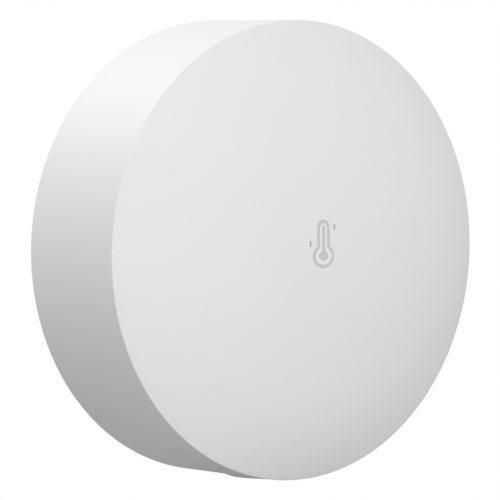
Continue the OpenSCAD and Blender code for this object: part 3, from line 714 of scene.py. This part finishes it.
def lacquered_board(name, colours, inside):
    """Main board: copper runs that show through the lacquer, and tinned rings round the clamp screws."""
    material, tree, place = new_material(name)
    runs = copper_runs(tree, place)
    lacquer = blend_colours(tree, runs, shade(colours.mask, 0.85), shade(colours.mask, 1.9))
    folded = {axis: fold(tree, along(tree, place, axis), 0.0) for axis in ("X", "Z")}
    corner = add_node(tree, "CombineXYZ", folded)["Vector"]
    from_screw = distance(tree, corner, (inside.post_across, 0.0, inside.post_up))
    ring = below(tree, from_screw, SCREW_RING, 0.025 * MM)
    return fill_shader(material, {
        **bare_where(tree, ring, lacquer, colours.tinned),
        "Roughness": spread(tree, noise(tree, place, 900.0), 0.24, 0.34),
        "Normal": relief(tree, runs, 0.3, 0.02 * MM),
    })


# Pads along the edges of the radio's carrier, and the aerial at its end
HALF_PAD_PITCH = 0.75 * MM
HALF_PAD = 0.52 * MM
PAD_LENGTH = 0.8 * MM
FIRST_PAD = 6.0 * MM
FIRST_STRIPE = 1.0 * MM
HALF_STRIPE_PITCH = 0.6 * MM
HALF_STRIPE = 0.22 * MM
HALF_AERIAL = 5.82 * MM
AERIAL_END = 5.22 * MM


def radio_carrier(name, colours, box):
    """Carrier of the radio: gilt pads along two edges, and the aerial's stripes at one end."""
    material, tree, place = new_material(name)
    low, high = box
    blur = 0.02 * MM
    x = along(tree, place, "X")
    across = fold(tree, along(tree, place, "Z"), (low.z + high.z) / 2)
    near_pad = below(tree, fold(tree, x, high.x - HALF_PAD_PITCH, HALF_PAD_PITCH), HALF_PAD, blur)
    near_edge = above(tree, across, (high.z - low.z) / 2 - PAD_LENGTH, blur)
    off_aerial = above(tree, x, low.x + FIRST_PAD, blur)
    pads = both(tree, both(tree, near_pad, near_edge), off_aerial)
    stripe = below(tree, fold(tree, x, low.x + FIRST_STRIPE, HALF_STRIPE_PITCH), HALF_STRIPE, blur)
    inner = below(tree, across, HALF_AERIAL, blur)
    end = below(tree, x, low.x + AERIAL_END, blur)
    aerial = both(tree, both(tree, stripe, inner), end)
    lacquer = blend_colours(tree, aerial, colours.radio_mask, shade(colours.radio_mask, 2.6))
    return fill_shader(material, {
        **bare_where(tree, pads, lacquer, colours.gilt),
        "Roughness": spread(tree, noise(tree, place, 900.0), 0.24, 0.34),
        "Normal": relief(tree, aerial, 0.3, 0.02 * MM),
    })


def moulded_part(name, tint, scale):
    """Moulded body of a small part, dull with a fine grain."""
    material, tree, place = new_material(name)
    grain = noise(tree, place, scale, detail=3.0)
    return fill_shader(material, {
        "Base Color": mottle(tree, grain, tint, 0.88, 1.1),
        "Roughness": spread(tree, grain, 0.44, 0.56),
        "Normal": relief(tree, grain, 0.3, 0.01 * MM),
    })


def end_caps(name, tint, solder, axis, middle, half, reach=WHOLE):
    """Small parts in a row along an axis: a moulded or fired body, and bare metal beyond it."""
    material, tree, place = new_material(name)
    tinned = above(tree, fold(tree, along(tree, place, axis), middle, reach), half, 0.015 * MM)
    grain = noise(tree, place, 2500.0)
    return fill_shader(material, {
        **bare_where(tree, tinned, mottle(tree, grain, tint, 0.9, 1.1), solder),
        "Roughness": spread(tree, grain, 0.3, 0.5),
        "Normal": relief(tree, grain, 0.2, 0.01 * MM),
    })


def clear_plastic(name):
    """Polished clear rod with faint drag lines."""
    material, tree, place = new_material(name)
    drag = noise(tree, place, 700.0)
    return fill_shader(material, {
        "Base Color": (0.95, 0.97, 0.97, 1.0),
        "Transmission Weight": 1.0,
        "IOR": 1.49,
        "Roughness": spread(tree, drag, 0.03, 0.10),
        "Normal": relief(tree, drag, 0.05, 0.01 * MM),
    })


def face_arcs(sizes):
    """The two arcs of the face: the crown's radius, the tilt at which the shoulder takes over, and the
    shoulder's radius and middle."""
    shoulder_in = sizes.body_radius - sizes.shoulder_width
    rise = sizes.apex_depth - sizes.edge_depth - sizes.shoulder_rise
    crown = (shoulder_in**2 + rise**2) / (2 * rise)
    tilt = math.asin(shoulder_in / crown)
    reach = sizes.shoulder_rise * math.cos(tilt) - sizes.shoulder_width * math.sin(tilt)
    shoulder = (sizes.shoulder_width**2 + sizes.shoulder_rise**2) / (2 * reach)
    middle = (
        shoulder_in - shoulder * math.sin(tilt),
        sizes.edge_depth + sizes.shoulder_rise - shoulder * math.cos(tilt),
    )
    return crown, tilt, shoulder, middle


def arc(centre, radius, start, end, count):
    """Points on an arc in the section, by angles from the depth axis towards the rim."""
    turns = [start + (end - start) * i / count for i in range(count + 1)]
    return [(centre[0] + radius * math.sin(a), centre[1] + radius * math.cos(a)) for a in turns]


def shell_section(sizes, film):
    """Section of the whole shell, from the outer apex round the rear rim to the inner apex. The outside of
    the face lies lower by the thickness of the ink film."""
    crown, tilt, shoulder, middle = face_arcs(sizes)
    bore, rim, soft = sizes.body_radius - sizes.barrel_wall, sizes.rim_round, sizes.edge_round
    edge_x = sizes.body_radius - soft
    edge_depth = middle[1] + math.sqrt((shoulder - soft) ** 2 - (edge_x - middle[0]) ** 2) - film
    turn = math.atan2(edge_x - middle[0], edge_depth + film - middle[1])
    points = arc((0.0, sizes.apex_depth - crown - film), crown, 0.0, tilt, FACE_STEPS)
    points += arc((middle[0], middle[1] - film), shoulder, tilt, turn, FACE_STEPS)[1:]
    points += arc((edge_x, edge_depth), soft, turn, math.pi / 2, EDGE_STEPS)[1:]
    points += [(sizes.body_radius, edge_depth - i * RING_PITCH) for i in range(1, BARREL_RINGS + 1)]
    rim_middle = (sizes.body_radius - rim, sizes.rim_depth + rim)
    points += arc(rim_middle, rim, math.pi / 2, math.pi, RIM_STEPS)
    points += [(bore, sizes.rim_depth)]
    inside = shoulder - sizes.face_wall
    stop = math.asin((bore - middle[0]) / inside)
    points += arc(middle, inside, stop, tilt, INNER_SHOULDER_STEPS)
    inner_middle = (0.0, sizes.apex_depth - crown)
    points += arc(inner_middle, crown - sizes.face_wall, tilt, 0.0, INNER_CROWN_STEPS)[1:]
    return [(radius, -depth, 0.0) for radius, depth in points]


class SENSOR_OT_front_shell(Operator):
    """Spin the front shell, add its posts, collar, rails and lugs, and cut the hole for the key"""

    bl_idname = "sensor.front_shell"
    bl_label = "Front shell"

    def execute(self, context):
        scene = context.scene
        sizes, inside, key = scene.shell_sizes, scene.inside_sizes, scene.key_sizes
        section = shell_section(sizes, 2 * scene.sign_sizes.film)
        shell = revolve("shell_moulding", section, sizes.steps)
        posts = [(x * inside.post_across, z * inside.post_up) for x in SIDES for z in SIDES]
        combine(shell, join(self.mouldings(sizes, inside, key, posts)), "UNION")
        combine(shell, join(self.cuts(sizes, inside, key, posts)), "DIFFERENCE")
        clean(shell, FINE_EDGE)
        split_faces(shell)
        smooth(shell, 25)
        white = moulded_plastic("shell_white", scene.colours.shell, (0.54, 0.60), 0.006 * MM)
        settle(shell, "housing", white)
        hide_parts("front_shell")
        return {"FINISHED"}

    def mouldings(self, sizes, inside, key, posts):
        """Screw posts, the light guide's collar, twist lugs, and the rails beside the key."""
        crown = face_arcs(sizes)[0]
        post_reach = math.hypot(inside.post_across, inside.post_up)
        post_top = sizes.apex_depth - crown + math.sqrt(crown**2 - post_reach**2) - sizes.face_wall / 2
        collar_root = sizes.apex_depth - inside.collar_cover
        bore = sizes.body_radius - sizes.barrel_wall
        root = bore + sizes.barrel_wall / 2
        added = [
            rod("post", inside.post_radius, (x, -inside.post_depth, z), (x, -post_top, z)) for x, z in posts
        ]
        ends = ((0, -inside.collar_depth, 0), (0, -collar_root, 0))
        added.append(rod("collar", inside.collar_radius, *ends))
        lug = (bore - inside.lug_reach, root, sizes.rim_depth, sizes.rim_depth + inside.lug_thickness)
        added += [ring_sector("lug", *lug, inside.lug_middle + turn, inside.lug_span) for turn in QUARTERS]
        near = key.ear_width / 2 + key.rail_gap
        far = near + key.rail_thickness
        tip = bore - key.rail_length
        outline = [(near, root), (far, root), (far, tip), (near, tip)]
        outline = [(x, -math.sqrt(r**2 - x**2)) for x, r in outline]
        ends = (key.depth - key.ear_height / 2, key.depth + key.ear_height / 2)
        added += [prism("rail", [(side * x, z) for x, z in outline], *ends) for side in SIDES]
        return added

    def cuts(self, sizes, inside, key, posts):
        """Screw holes of the posts, the bore of the collar and the hole for the key."""
        start = -inside.post_depth + OVERRUN
        tools = [
            rod("pilot", inside.pilot_radius, (x, start, z), (x, -inside.pilot_depth, z), HOLE_SIDES)
            for x, z in posts
        ]
        ends = ((0, -inside.collar_depth + OVERRUN, 0), (0, -inside.guide_depth, 0))
        tools.append(rod("bore", inside.guide_radius, *ends, HOLE_SIDES))
        past_rails = -sizes.body_radius + sizes.barrel_wall + KEY_HOLE_REACH
        ends = ((0, -key.depth, past_rails), (0, -key.depth, -sizes.body_radius - OVERRUN))
        tools.append(rod("key_hole", key.radius + key.gap, *ends, DISC_SIDES))
        return tools


class SENSOR_OT_pairing_key(Operator):
    """Spin the pairing key with a soft rim, curve it like the barrel and add its ears and boss"""

    bl_idname = "sensor.pairing_key"
    bl_label = "Pairing key"

    def execute(self, context):
        scene = context.scene
        key, body = scene.key_sizes, scene.shell_sizes.body_radius
        inside = key.ear_inner + key.ear_lap
        reach = body - inside
        level_radius = key.radius - key.rim_across
        section = [(level_radius * i / KEY_LEVEL_STEPS, 0.0) for i in range(KEY_LEVEL_STEPS)]
        for i in range(KEY_RIM_STEPS + 1):
            share = i / KEY_RIM_STEPS
            fall = (1.0 - math.cos(math.pi * share)) / 2
            section.append((level_radius + key.rim_across * share, key.rim_drop * fall))
        section += [(key.radius * i / KEY_RIM_STEPS, reach) for i in range(KEY_RIM_STEPS, -1, -1)]
        points = [(radius, -key.depth, -body + drop) for radius, drop in section]
        cap = revolve("key_cap", points, DISC_SIDES, axis=(0, 0, 1), centre=(0, -key.depth, 0))
        for vertex in cap.data.vertices:
            share = (-vertex.co.y - key.depth + key.radius) / (2 * key.radius)
            slope = max(0.0, share - key.level_share) / (1.0 - key.level_share)
            proud = key.proud_rear + (key.proud_front - key.proud_rear) * slope
            drop = vertex.co.z + body
            on_top = drop < reach / 2
            level = body + proud * (1.0 - drop / key.proud_rear) if on_top else inside
            vertex.co.z = -math.sqrt(level**2 - vertex.co.x**2)
        across = [key.ear_width * (i / EAR_STEPS - 0.5) for i in range(EAR_STEPS + 1)]
        outline = [(x, -math.sqrt(key.ear_outer**2 - x**2)) for x in across]
        outline += [(x, -math.sqrt(key.ear_inner**2 - x**2)) for x in reversed(across)]
        ears = prism("ears", outline, key.depth - key.ear_height / 2, key.depth + key.ear_height / 2)
        ends = ((0, -key.boss_depth, KEY_BOX[1].z), (0, -key.boss_depth, -key.ear_inner - SUNK))
        boss = rod("boss", key.boss_radius, *ends)
        combine(cap, ears, "UNION")
        combine(cap, boss, "UNION")
        clean(cap, FINE_EDGE)
        smooth(cap, 35)
        white = moulded_plastic("key_white", scene.colours.key, (0.54, 0.60), 0.006 * MM)
        settle(cap, "pairing_key", white)
        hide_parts("pairing_key")
        return {"FINISHED"}


# The printed shapes are drawn on this plane in front of the face and then laid on it
DRAWING_Y = SHELL_BOX[0].y - OVERRUN


def thermometer_outline(sign, width, top, bulb, stretch):
    """Corners of a thermometer's outline: a stem on a round bulb."""
    half = width / 2
    turn = math.asin(half / (bulb * stretch))
    start = math.pi / 2 + turn
    stem = (math.pi * i / STEM_STEPS for i in range(STEM_STEPS + 1))
    points = [(half * math.cos(a), top - half + half * math.sin(a)) for a in stem]
    bulb_turns = (start + (math.tau - 2 * turn) * i / BULB_STEPS for i in range(BULB_STEPS + 1))
    points += [(bulb * stretch * math.cos(a), sign.bulb_height + bulb * math.sin(a)) for a in bulb_turns]
    return [(sign.across + x, DRAWING_Y, z) for x, z in points]


def print_on_face(piece, shell, film):
    """Lays a flat shape on the face and gives it the thickness of ink."""
    edit(piece)
    bpy.ops.mesh.quads_convert_to_tris(quad_method="BEAUTY", ngon_method="BEAUTY")
    bpy.ops.mesh.subdivide(number_cuts=3)
    close_mesh()
    apply_modifier(
        piece, "SHRINKWRAP", target=shell, wrap_method="PROJECT", use_project_x=False, use_project_y=True,
        use_project_z=False, use_positive_direction=True, use_negative_direction=False
    )
    if sum(face.normal.y for face in piece.data.polygons) > 0:
        edit(piece)
        bpy.ops.mesh.flip_normals()
        leave_edit()
    apply_modifier(piece, "SOLIDIFY", thickness=film, offset=1.0)
    smooth(piece, 30)


class SENSOR_OT_face_sign(Operator):
    """Print the thermometer sign and its two scale marks on the face"""

    bl_idname = "sensor.face_sign"
    bl_label = "Face sign"

    def execute(self, context):
        scene = context.scene
        sign, colours = scene.sign_sizes, scene.colours
        shell = bpy.data.objects["shell_moulding"]
        outer = thermometer_outline(
            sign, sign.stem_width, sign.stem_top, sign.bulb_radius, sign.bulb_stretch
        )
        inner = thermometer_outline(
            sign, sign.column_width, sign.column_top, sign.column_bulb, sign.column_stretch
        )
        outline = draw_face("sign_outline", outer)
        bpy.ops.mesh.inset(thickness=sign.stroke, use_even_offset=True)
        bpy.ops.mesh.delete(type="FACE")
        leave_edit()
        window = draw_face("sign_window", outer)
        bpy.ops.mesh.inset(thickness=sign.stroke, use_even_offset=True)
        bpy.ops.mesh.select_all(action="INVERT")
        bpy.ops.mesh.delete(type="VERT")
        leave_edit()
        column = draw_face("sign_column", inner)
        leave_edit()
        marks = [
            self.mark(name, place, sign)
            for name, place in (("left_mark", sign.left_dash), ("right_mark", sign.right_dash))
        ]
        grey = printed_ink("sign_grey", colours.outline)
        pale = printed_ink("sign_pale", colours.window)
        dark = printed_ink("sign_dark", colours.dash)
        inks = [(outline, grey, 1.5), (window, pale, 1.0), (column, grey, 1.9)]
        inks += [(mark, dark, 1.5) for mark in marks]
        for piece, ink, layers in inks:
            print_on_face(piece, shell, layers * sign.film)
            settle(piece, "housing", ink)
        return {"FINISHED"}

    def mark(self, name, place, sign):
        """An upright scale mark with round corners."""
        mark = start_from(
            bpy.ops.mesh.primitive_plane_add, name, (sign.dash_width, sign.dash_length, 1.0), size=1.0,
            location=(place[0], DRAWING_Y, place[1]), rotation=(math.pi / 2, 0, 0)
        )
        edit(mark)
        bpy.ops.mesh.bevel(offset=sign.dash_round * sign.dash_width, segments=3, affect="VERTICES")
        leave_edit()
        return mark


class SENSOR_OT_wall_plate(Operator):
    """Spin the wall plate, add its flange, stops and bosses, and cut its screw holes, vents and recess"""

    bl_idname = "sensor.wall_plate"
    bl_label = "Wall plate"

    def execute(self, context):
        sizes = context.scene.plate_sizes
        rear, front = sizes.rear_depth, sizes.front_depth
        section = [
            (0.0, rear),
            (sizes.radius - sizes.bevel, rear),
            (sizes.radius, rear + sizes.bevel),
            (sizes.radius, front),
            (sizes.ring_inside, front),
            (sizes.ring_inside, sizes.floor_depth),
            (0.0, sizes.floor_depth),
        ]
        plate = revolve("plate_moulding", [(r, -depth, 0.0) for r, depth in section], PLATE_SIDES)
        root = (sizes.radius + sizes.ring_inside) / 2
        flange = (root, sizes.flange_outside, sizes.flange_depth, front)
        sectors = [
            ring_sector("flange", *flange, sizes.flange_middle + turn, sizes.flange_span)
            for turn in QUARTERS
        ]
        combine(plate, join(sectors), "UNION")
        stop = (root, sizes.stop_outside, sizes.stop_rear, sizes.stop_front)
        stops = [
            ring_sector("stop", *stop, turn + place, sizes.stop_span)
            for turn in QUARTERS
            for place in (sizes.first_stop, sizes.second_stop)
        ]
        combine(plate, join(stops), "UNION")
        screws = [side * sizes.screw_across for side in SIDES]
        bosses = [
            rod("boss", sizes.boss_radius, (x, -rear - SUNK, 0), (x, -front, 0), DISC_SIDES) for x in screws
        ]
        combine(plate, join(bosses), "UNION")
        combine(plate, join(self.cuts(sizes, screws)), "DIFFERENCE")
        clean(plate, COARSE_EDGE)
        apply_modifier(
            plate, "BEVEL", width=sizes.edge, segments=2, limit_method="ANGLE",
            angle_limit=math.radians(40), use_clamp_overlap=True, harden_normals=False
        )
        smooth(plate, 35)
        apply_modifier(plate, "WEIGHTED_NORMAL", keep_sharp=True)
        apply_modifier(
            plate, "TRIANGULATE", quad_method="BEAUTY", ngon_method="BEAUTY", keep_custom_normals=True
        )
        white = moulded_plastic("plate_white", context.scene.colours.plate, (0.44, 0.52), 0.008 * MM)
        settle(plate, "wall_plate", white)
        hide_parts("wall_plate")
        return {"FINISHED"}

    def cuts(self, sizes, screws):
        """Screw holes with their countersinks, air slots and the pad's recess."""
        tools = []
        start, front = sizes.rear_depth - OVERRUN, sizes.front_depth
        sink = sizes.sink_radius - sizes.screw_radius
        section = [
            (0.0, start),
            (sizes.screw_radius, start),
            (sizes.screw_radius, front - sink),
            (sizes.sink_radius + OVERRUN, front + OVERRUN),
            (0.0, front + OVERRUN),
        ]
        for x in screws:
            points = [(x + r, -depth, 0.0) for r, depth in section]
            tools.append(revolve("screw_hole", points, DISC_SIDES, centre=(x, 0, 0)))
        half = sizes.vent_width / 2
        for i in range(sizes.vent_count):
            x = (i - (sizes.vent_count - 1) / 2) * sizes.vent_pitch
            far = math.sqrt(sizes.vent_reach**2 - x**2) - half
            near = far - sizes.vent_length + 2 * half
            slot = round_corners([(x, far, 0.0, math.pi), (x, near, math.pi, math.pi)], half)
            for side in reversed(SIDES):
                tools.append(prism("vent", [(side * u, side * v) for u, v in slot], start, front))
        wide = sizes.recess_width / 2 - sizes.recess_corner
        high = sizes.recess_height / 2 - sizes.recess_corner
        middles = ((wide, high), (-wide, high), (-wide, -high), (wide, -high))
        corners = [(x, z, turn, math.pi / 2) for (x, z), turn in zip(middles, QUARTERS)]
        recess = round_corners(corners, sizes.recess_corner)
        tools.append(prism("recess", recess, start, sizes.recess_depth))
        return tools


class SENSOR_OT_foam_pad(Operator):
    """Model the double-sided foam pad with round corners, soft edges and a drawn-in waist"""

    bl_idname = "sensor.foam_pad"
    bl_label = "Foam pad"

    def execute(self, context):
        scene = context.scene
        sizes = scene.pad_sizes
        low, high = PAD_BOX
        pad = start_from(
            bpy.ops.mesh.primitive_plane_add, "foam_pad", (high.x - low.x, high.z - low.z, 1.0), size=1.0,
            location=(0, high.y, 0), rotation=(math.pi / 2, 0, 0)
        )
        edit(pad)
        bpy.ops.mesh.bevel(offset=sizes.corner, segments=10, affect="VERTICES")
        step = (low.y - high.y) / FOAM_LAYERS
        for _ in range(FOAM_LAYERS):
            bpy.ops.mesh.extrude_region_move(TRANSFORM_OT_translate={"value": (0, step, 0)})
        close_mesh()
        middle = (low.y + high.y) / 2
        for vertex in pad.data.vertices:
            share = 1.0 - abs(vertex.co.y - middle) / (high.y - middle)
            vertex.co.x *= 1.0 - share * sizes.waist / high.x
            vertex.co.z *= 1.0 - share * sizes.waist / high.z
        apply_modifier(
            pad, "BEVEL", width=sizes.edge, segments=3, limit_method="ANGLE", angle_limit=math.radians(60)
        )
        smooth(pad, 40)
        settle(pad, "wall_plate", foam("pad_foam", scene.colours.foam))
        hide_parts("adhesive_pad")
        return {"FINISHED"}


class SENSOR_OT_battery_tray(Operator):
    """Finish the battery tray, its contacts and the two cells"""

    bl_idname = "sensor.battery_tray"
    bl_label = "Battery tray and cells"

    def execute(self, context):
        colours = context.scene.colours
        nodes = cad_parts
        grey = moulded_plastic("chassis_grey", colours.chassis, (0.48, 0.58), 0.01 * MM)
        dress(nodes["battery_chassis"], grey)
        nickel = bare_metal("contact_nickel", (0.66, 0.64, 0.60), (0.22, 0.36), 700.0)
        for node in ("positive_contact", "negative_contact", "series_contact"):
            dress(nodes[node], nickel)
        for node, nub_side in (("cell_upper", 1.0), ("cell_lower", -1.0)):
            low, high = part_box(node)
            dress(nodes[node], cell_sleeve(f"{node}_sleeve", colours, (low.x + high.x) / 2, nub_side))
        return {"FINISHED"}


class SENSOR_OT_springs(Operator):
    """Wind the two conical springs that stand on the contacts and press on the cells"""

    bl_idname = "sensor.springs"
    bl_label = "Springs"

    def execute(self, context):
        sizes = context.scene.spring_sizes
        steel = bare_metal("spring_nickel", (0.64, 0.63, 0.60), (0.20, 0.32), 1500.0)
        count = round(TURN_STEPS * sizes.turns)
        for name, node, cell, side in (
            ("lower_spring_wire", "negative_spring", "cell_lower", 1),
            ("upper_spring_wire", "series_spring", "cell_upper", -1),
        ):
            low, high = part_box(cell)
            middle = (low + high) / 2
            foot = middle.x + side * ((high.x - low.x) / 2 + sizes.fitted_length)
            points = []
            for i in range(count + 1):
                share = i / count
                turn = math.tau * sizes.turns * share
                radius = sizes.foot_radius + (sizes.tip_radius - sizes.foot_radius) * share
                x = foot - side * (sizes.wire / 2 + (sizes.fitted_length - sizes.wire) * share)
                y = middle.y - side * radius * math.cos(turn)
                points.append((x, y, middle.z + radius * math.sin(turn)))
            spring = wire(name, points, sizes.wire / 2)
            settle(spring, "housing", steel)
            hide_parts(node)
        return {"FINISHED"}


class SENSOR_OT_circuit_board(Operator):
    """Finish the circuit board and the parts that stand on it"""

    bl_idname = "sensor.circuit_board"
    bl_label = "Circuit board and parts"

    def execute(self, context):
        scene = context.scene
        colours = scene.colours
        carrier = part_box("radio_board")
        finishes = {
            "main_board": lacquered_board("board_green", colours, scene.inside_sizes),
            "radio_board": radio_carrier("radio_green", colours, carrier),
            "radio_shield": bare_metal("shield_tin", (0.70, 0.70, 0.68), (0.26, 0.40), 500.0),
            "clamp_screws": bare_metal("screw_steel", (0.48, 0.49, 0.51), (0.28, 0.44), 900.0),
            "humidity_sensor": moulded_part("chip_grey", (0.05, 0.05, 0.055), 3000.0),
            "switch_plunger": moulded_part("plunger_black", (0.02, 0.02, 0.022), 2500.0),
            "light_guide": clear_plastic("clear_acrylic"),
        }
        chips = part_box("chip_parts")
        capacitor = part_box("bulk_capacitor")
        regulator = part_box("regulator")
        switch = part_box("tact_switch")
        half = (capacitor[1].x - capacitor[0].x) / 2
        middle = capacitor[0].x + half
        upright = (regulator[0].z + regulator[1].z) / 2
        # Node, finish and colour, then the axis, the body's middle and half length, and half a row's pitch
        capped = (
            ("status_led", "led_ivory", (0.72, 0.66, 0.45), "X", 0.0, 0.71 * MM),
            ("bulk_capacitor", "capacitor_ochre", (0.58, 0.32, 0.06), "X", middle, half - 0.13 * MM),
            ("regulator", "chip_black", (0.018, 0.018, 0.02), "Z", upright, 0.69 * MM),
            ("chip_parts", "chip_tan", (0.42, 0.30, 0.18), "X", chips[0].x + 0.8 * MM, 0.46 * MM, 1.4 * MM),
            ("tact_switch", "switch_steel", (0.02, 0.02, 0.022), "Z", switch[1].z, 1.9 * MM),
        )
        for node, name, tint, *row in capped:
            finishes[node] = end_caps(name, tint, colours.solder, *row)
        for node, material in finishes.items():
            dress(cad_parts[node], material)
        return {"FINISHED"}


def empty_nodes(block):
    """The node tree of a material or world, with nothing in it."""
    block.use_nodes = True
    block.node_tree.nodes.clear()
    return block.node_tree


def ray_kind(tree):
    """1 for rays that show the background in the picture, in gloss or through glass, and 0 for light."""
    path = add_node(tree, "LightPath", {})
    seen = calculate(tree, "MAXIMUM", path["Is Camera Ray"], path["Is Glossy Ray"])
    return calculate(tree, "MAXIMUM", seen, path["Is Transmission Ray"])


def mix_shaders(tree, value, first, second):
    """The first shader where a value is 0 and the second where it is 1."""
    return add_node(tree, "MixShader", {"Fac": value, 1: first, 2: second})["Shader"]


def paper_floor(stage):
    """White paper: it takes the object's shadow, fades into the backdrop, throws little light back and
    isn't seen from below."""
    material = bpy.data.materials.new("paper_floor")
    tree = empty_nodes(material)
    seen = ray_kind(tree)
    tint = blend_colours(tree, seen, stage.floor_bounce, stage.floor_shown)
    paper = add_node(tree, "BsdfDiffuse", {"Color": tint})["BSDF"]
    glow = add_node(tree, "Emission", {"Strength": 1.0})["Emission"]
    place = add_node(tree, "TexCoord", {})["Object"]
    from_middle = distance(tree, place, (0.0, 0.0, -stage.floor_drop))
    far = spread(tree, from_middle, 0.45, 1.0, 0.1 * stage.floor_radius, 0.7 * stage.floor_radius)
    faded = mix_shaders(tree, both(tree, seen, far), paper, glow)
    underside = add_node(tree, "NewGeometry", {})["Backfacing"]
    clear = add_node(tree, "BsdfTransparent", {})["BSDF"]
    shown = mix_shaders(tree, both(tree, seen, underside), faded, clear)
    add_node(tree, "OutputMaterial", {"Surface": shown})
    return material


def dark_card(stage):
    """A small card outside the picture, which shades the lowest part of the object as a table would."""
    place = (stage.card_aside, -stage.card_forward, -stage.card_drop)
    card = start_from(bpy.ops.mesh.primitive_plane_add, "dark_card", size=stage.card_width, location=place)
    card.visible_camera = False
    material = bpy.data.materials.new("dark_card")
    tree = empty_nodes(material)
    paper = add_node(tree, "BsdfDiffuse", {"Color": stage.card_grey})["BSDF"]
    add_node(tree, "OutputMaterial", {"Surface": paper})
    dress(card, material)


def white_world(ambient):
    """Even light from all sides, which shows as white behind the object."""
    world = bpy.data.worlds.new("white_backdrop")
    bpy.context.scene.world = world
    tree = empty_nodes(world)
    white = (1.0, 1.0, 1.0, 1.0)
    light, shown = (
        add_node(tree, "Background", {"Color": white, "Strength": strength})["Background"]
        for strength in (ambient, 1.0)
    )
    add_node(tree, "OutputWorld", {"Surface": mix_shaders(tree, ray_kind(tree), light, shown)})


# Soft lamps: the direction in which each stands, and its power in watts
LAMPS = (
    ("top_rear_box", (-0.30, 0.70, 0.80), 3.2),
    ("top_left_box", (-0.60, 0.40, 0.80), 0.89),
    ("front_left_box", (-0.60, -0.90, 0.10), 2.15),
    ("front_box", (0.00, -1.00, 0.10), 1.08),
    ("front_top_box", (0.00, -0.80, 0.70), 1.18),
)


def softbox(name, way, power, stage):
    """A square lamp that faces the object from a direction."""
    lamp = bpy.data.lights.new(name, "AREA")
    lamp.shape = "SQUARE"
    lamp.size = stage.lamp_size
    lamp.energy = power
    obj = bpy.data.objects.new(name, lamp)
    obj.location = Vector((0, -stage.lamp_aim, 0)) + stage.lamp_distance * Vector(way).normalized()
    obj.rotation_euler = (-Vector(way)).to_track_quat("-Z", "Y").to_euler()
    bpy.context.scene.collection.objects.link(obj)


class SENSOR_OT_stage(Operator):
    """Set the camera, the pale floor, the white backdrop and the lamps"""

    bl_idname = "sensor.stage"
    bl_label = "Stage"

    def execute(self, context):
        scene = context.scene
        stage = scene.stage_sizes
        self.camera(scene, stage)
        floor = start_from(
            bpy.ops.mesh.primitive_circle_add, "floor", vertices=DISC_SIDES, radius=stage.floor_radius,
            fill_type="NGON", location=(0, 0, -stage.floor_drop)
        )
        dress(floor, paper_floor(stage))
        dark_card(stage)
        white_world(stage.ambient)
        for name, way, power in LAMPS:
            softbox(name, way, power, stage)
        scene.view_settings.view_transform = "Standard"
        return {"FINISHED"}

    def camera(self, scene, stage):
        """Sets the camera by the middle of the face's edge."""
        level = math.cos(stage.rise)
        back = Vector((math.sin(stage.turn) * level, -math.cos(stage.turn) * level, math.sin(stage.rise)))
        right = (-back).cross(Vector((0, 0, 1))).normalized()
        up = right.cross(-back)
        data = bpy.data.cameras.new("camera")
        data.lens = stage.lens
        data.sensor_width = stage.sensor
        data.clip_start = stage.near
        data.clip_end = stage.far
        camera = bpy.data.objects.new("camera", data)
        scene.collection.objects.link(camera)
        camera.location = Vector((0, -scene.shell_sizes.edge_depth, 0)) + back * stage.distance
        look = -back - right * stage.aim_right + up * stage.aim_down
        camera.rotation_euler = look.to_track_quat("-Z", "Y").to_euler()
        scene.camera = camera


STEPS = (
    SENSOR_OT_front_shell,
    SENSOR_OT_pairing_key,
    SENSOR_OT_face_sign,
    SENSOR_OT_wall_plate,
    SENSOR_OT_foam_pad,
    SENSOR_OT_battery_tray,
    SENSOR_OT_springs,
    SENSOR_OT_circuit_board,
    SENSOR_OT_stage,
)


class SENSOR_PT_sidebar(Panel):
    """Lists the steps that model the sensor"""

    bl_idname = "SENSOR_PT_sidebar"
    bl_label = "Climate sensor"
    bl_space_type = "VIEW_3D"
    bl_region_type = "UI"
    bl_category = "Climate sensor"

    def draw(self, context):
        for step in STEPS:
            self.layout.operator(step.bl_idname)


GROUPS = {
    "shell_sizes": ShellSizes,
    "inside_sizes": InsideSizes,
    "key_sizes": KeySizes,
    "sign_sizes": SignSizes,
    "plate_sizes": PlateSizes,
    "pad_sizes": PadSizes,
    "spring_sizes": SpringSizes,
    "colours": Colours,
    "stage_sizes": StageSizes,
}
CLASSES = (*GROUPS.values(), *STEPS, SENSOR_PT_sidebar)


def register():
    """Registers the classes and hangs the sizes on the scene."""
    for cls in CLASSES:
        bpy.utils.register_class(cls)
    for name, group in GROUPS.items():
        setattr(bpy.types.Scene, name, PointerProperty(type=group))


def unregister():
    """Takes the sizes and the classes away again."""
    for name in GROUPS:
        delattr(bpy.types.Scene, name)
    for cls in reversed(CLASSES):
        bpy.utils.unregister_class(cls)


def main():
    """Models the pieces in order."""
    register()
    bpy.ops.sensor.front_shell()
    bpy.ops.sensor.pairing_key()
    bpy.ops.sensor.face_sign()
    bpy.ops.sensor.wall_plate()
    bpy.ops.sensor.foam_pad()
    bpy.ops.sensor.battery_tray()
    bpy.ops.sensor.springs()
    bpy.ops.sensor.circuit_board()
    bpy.ops.sensor.stage()


if __name__ == "__main__":
    main()
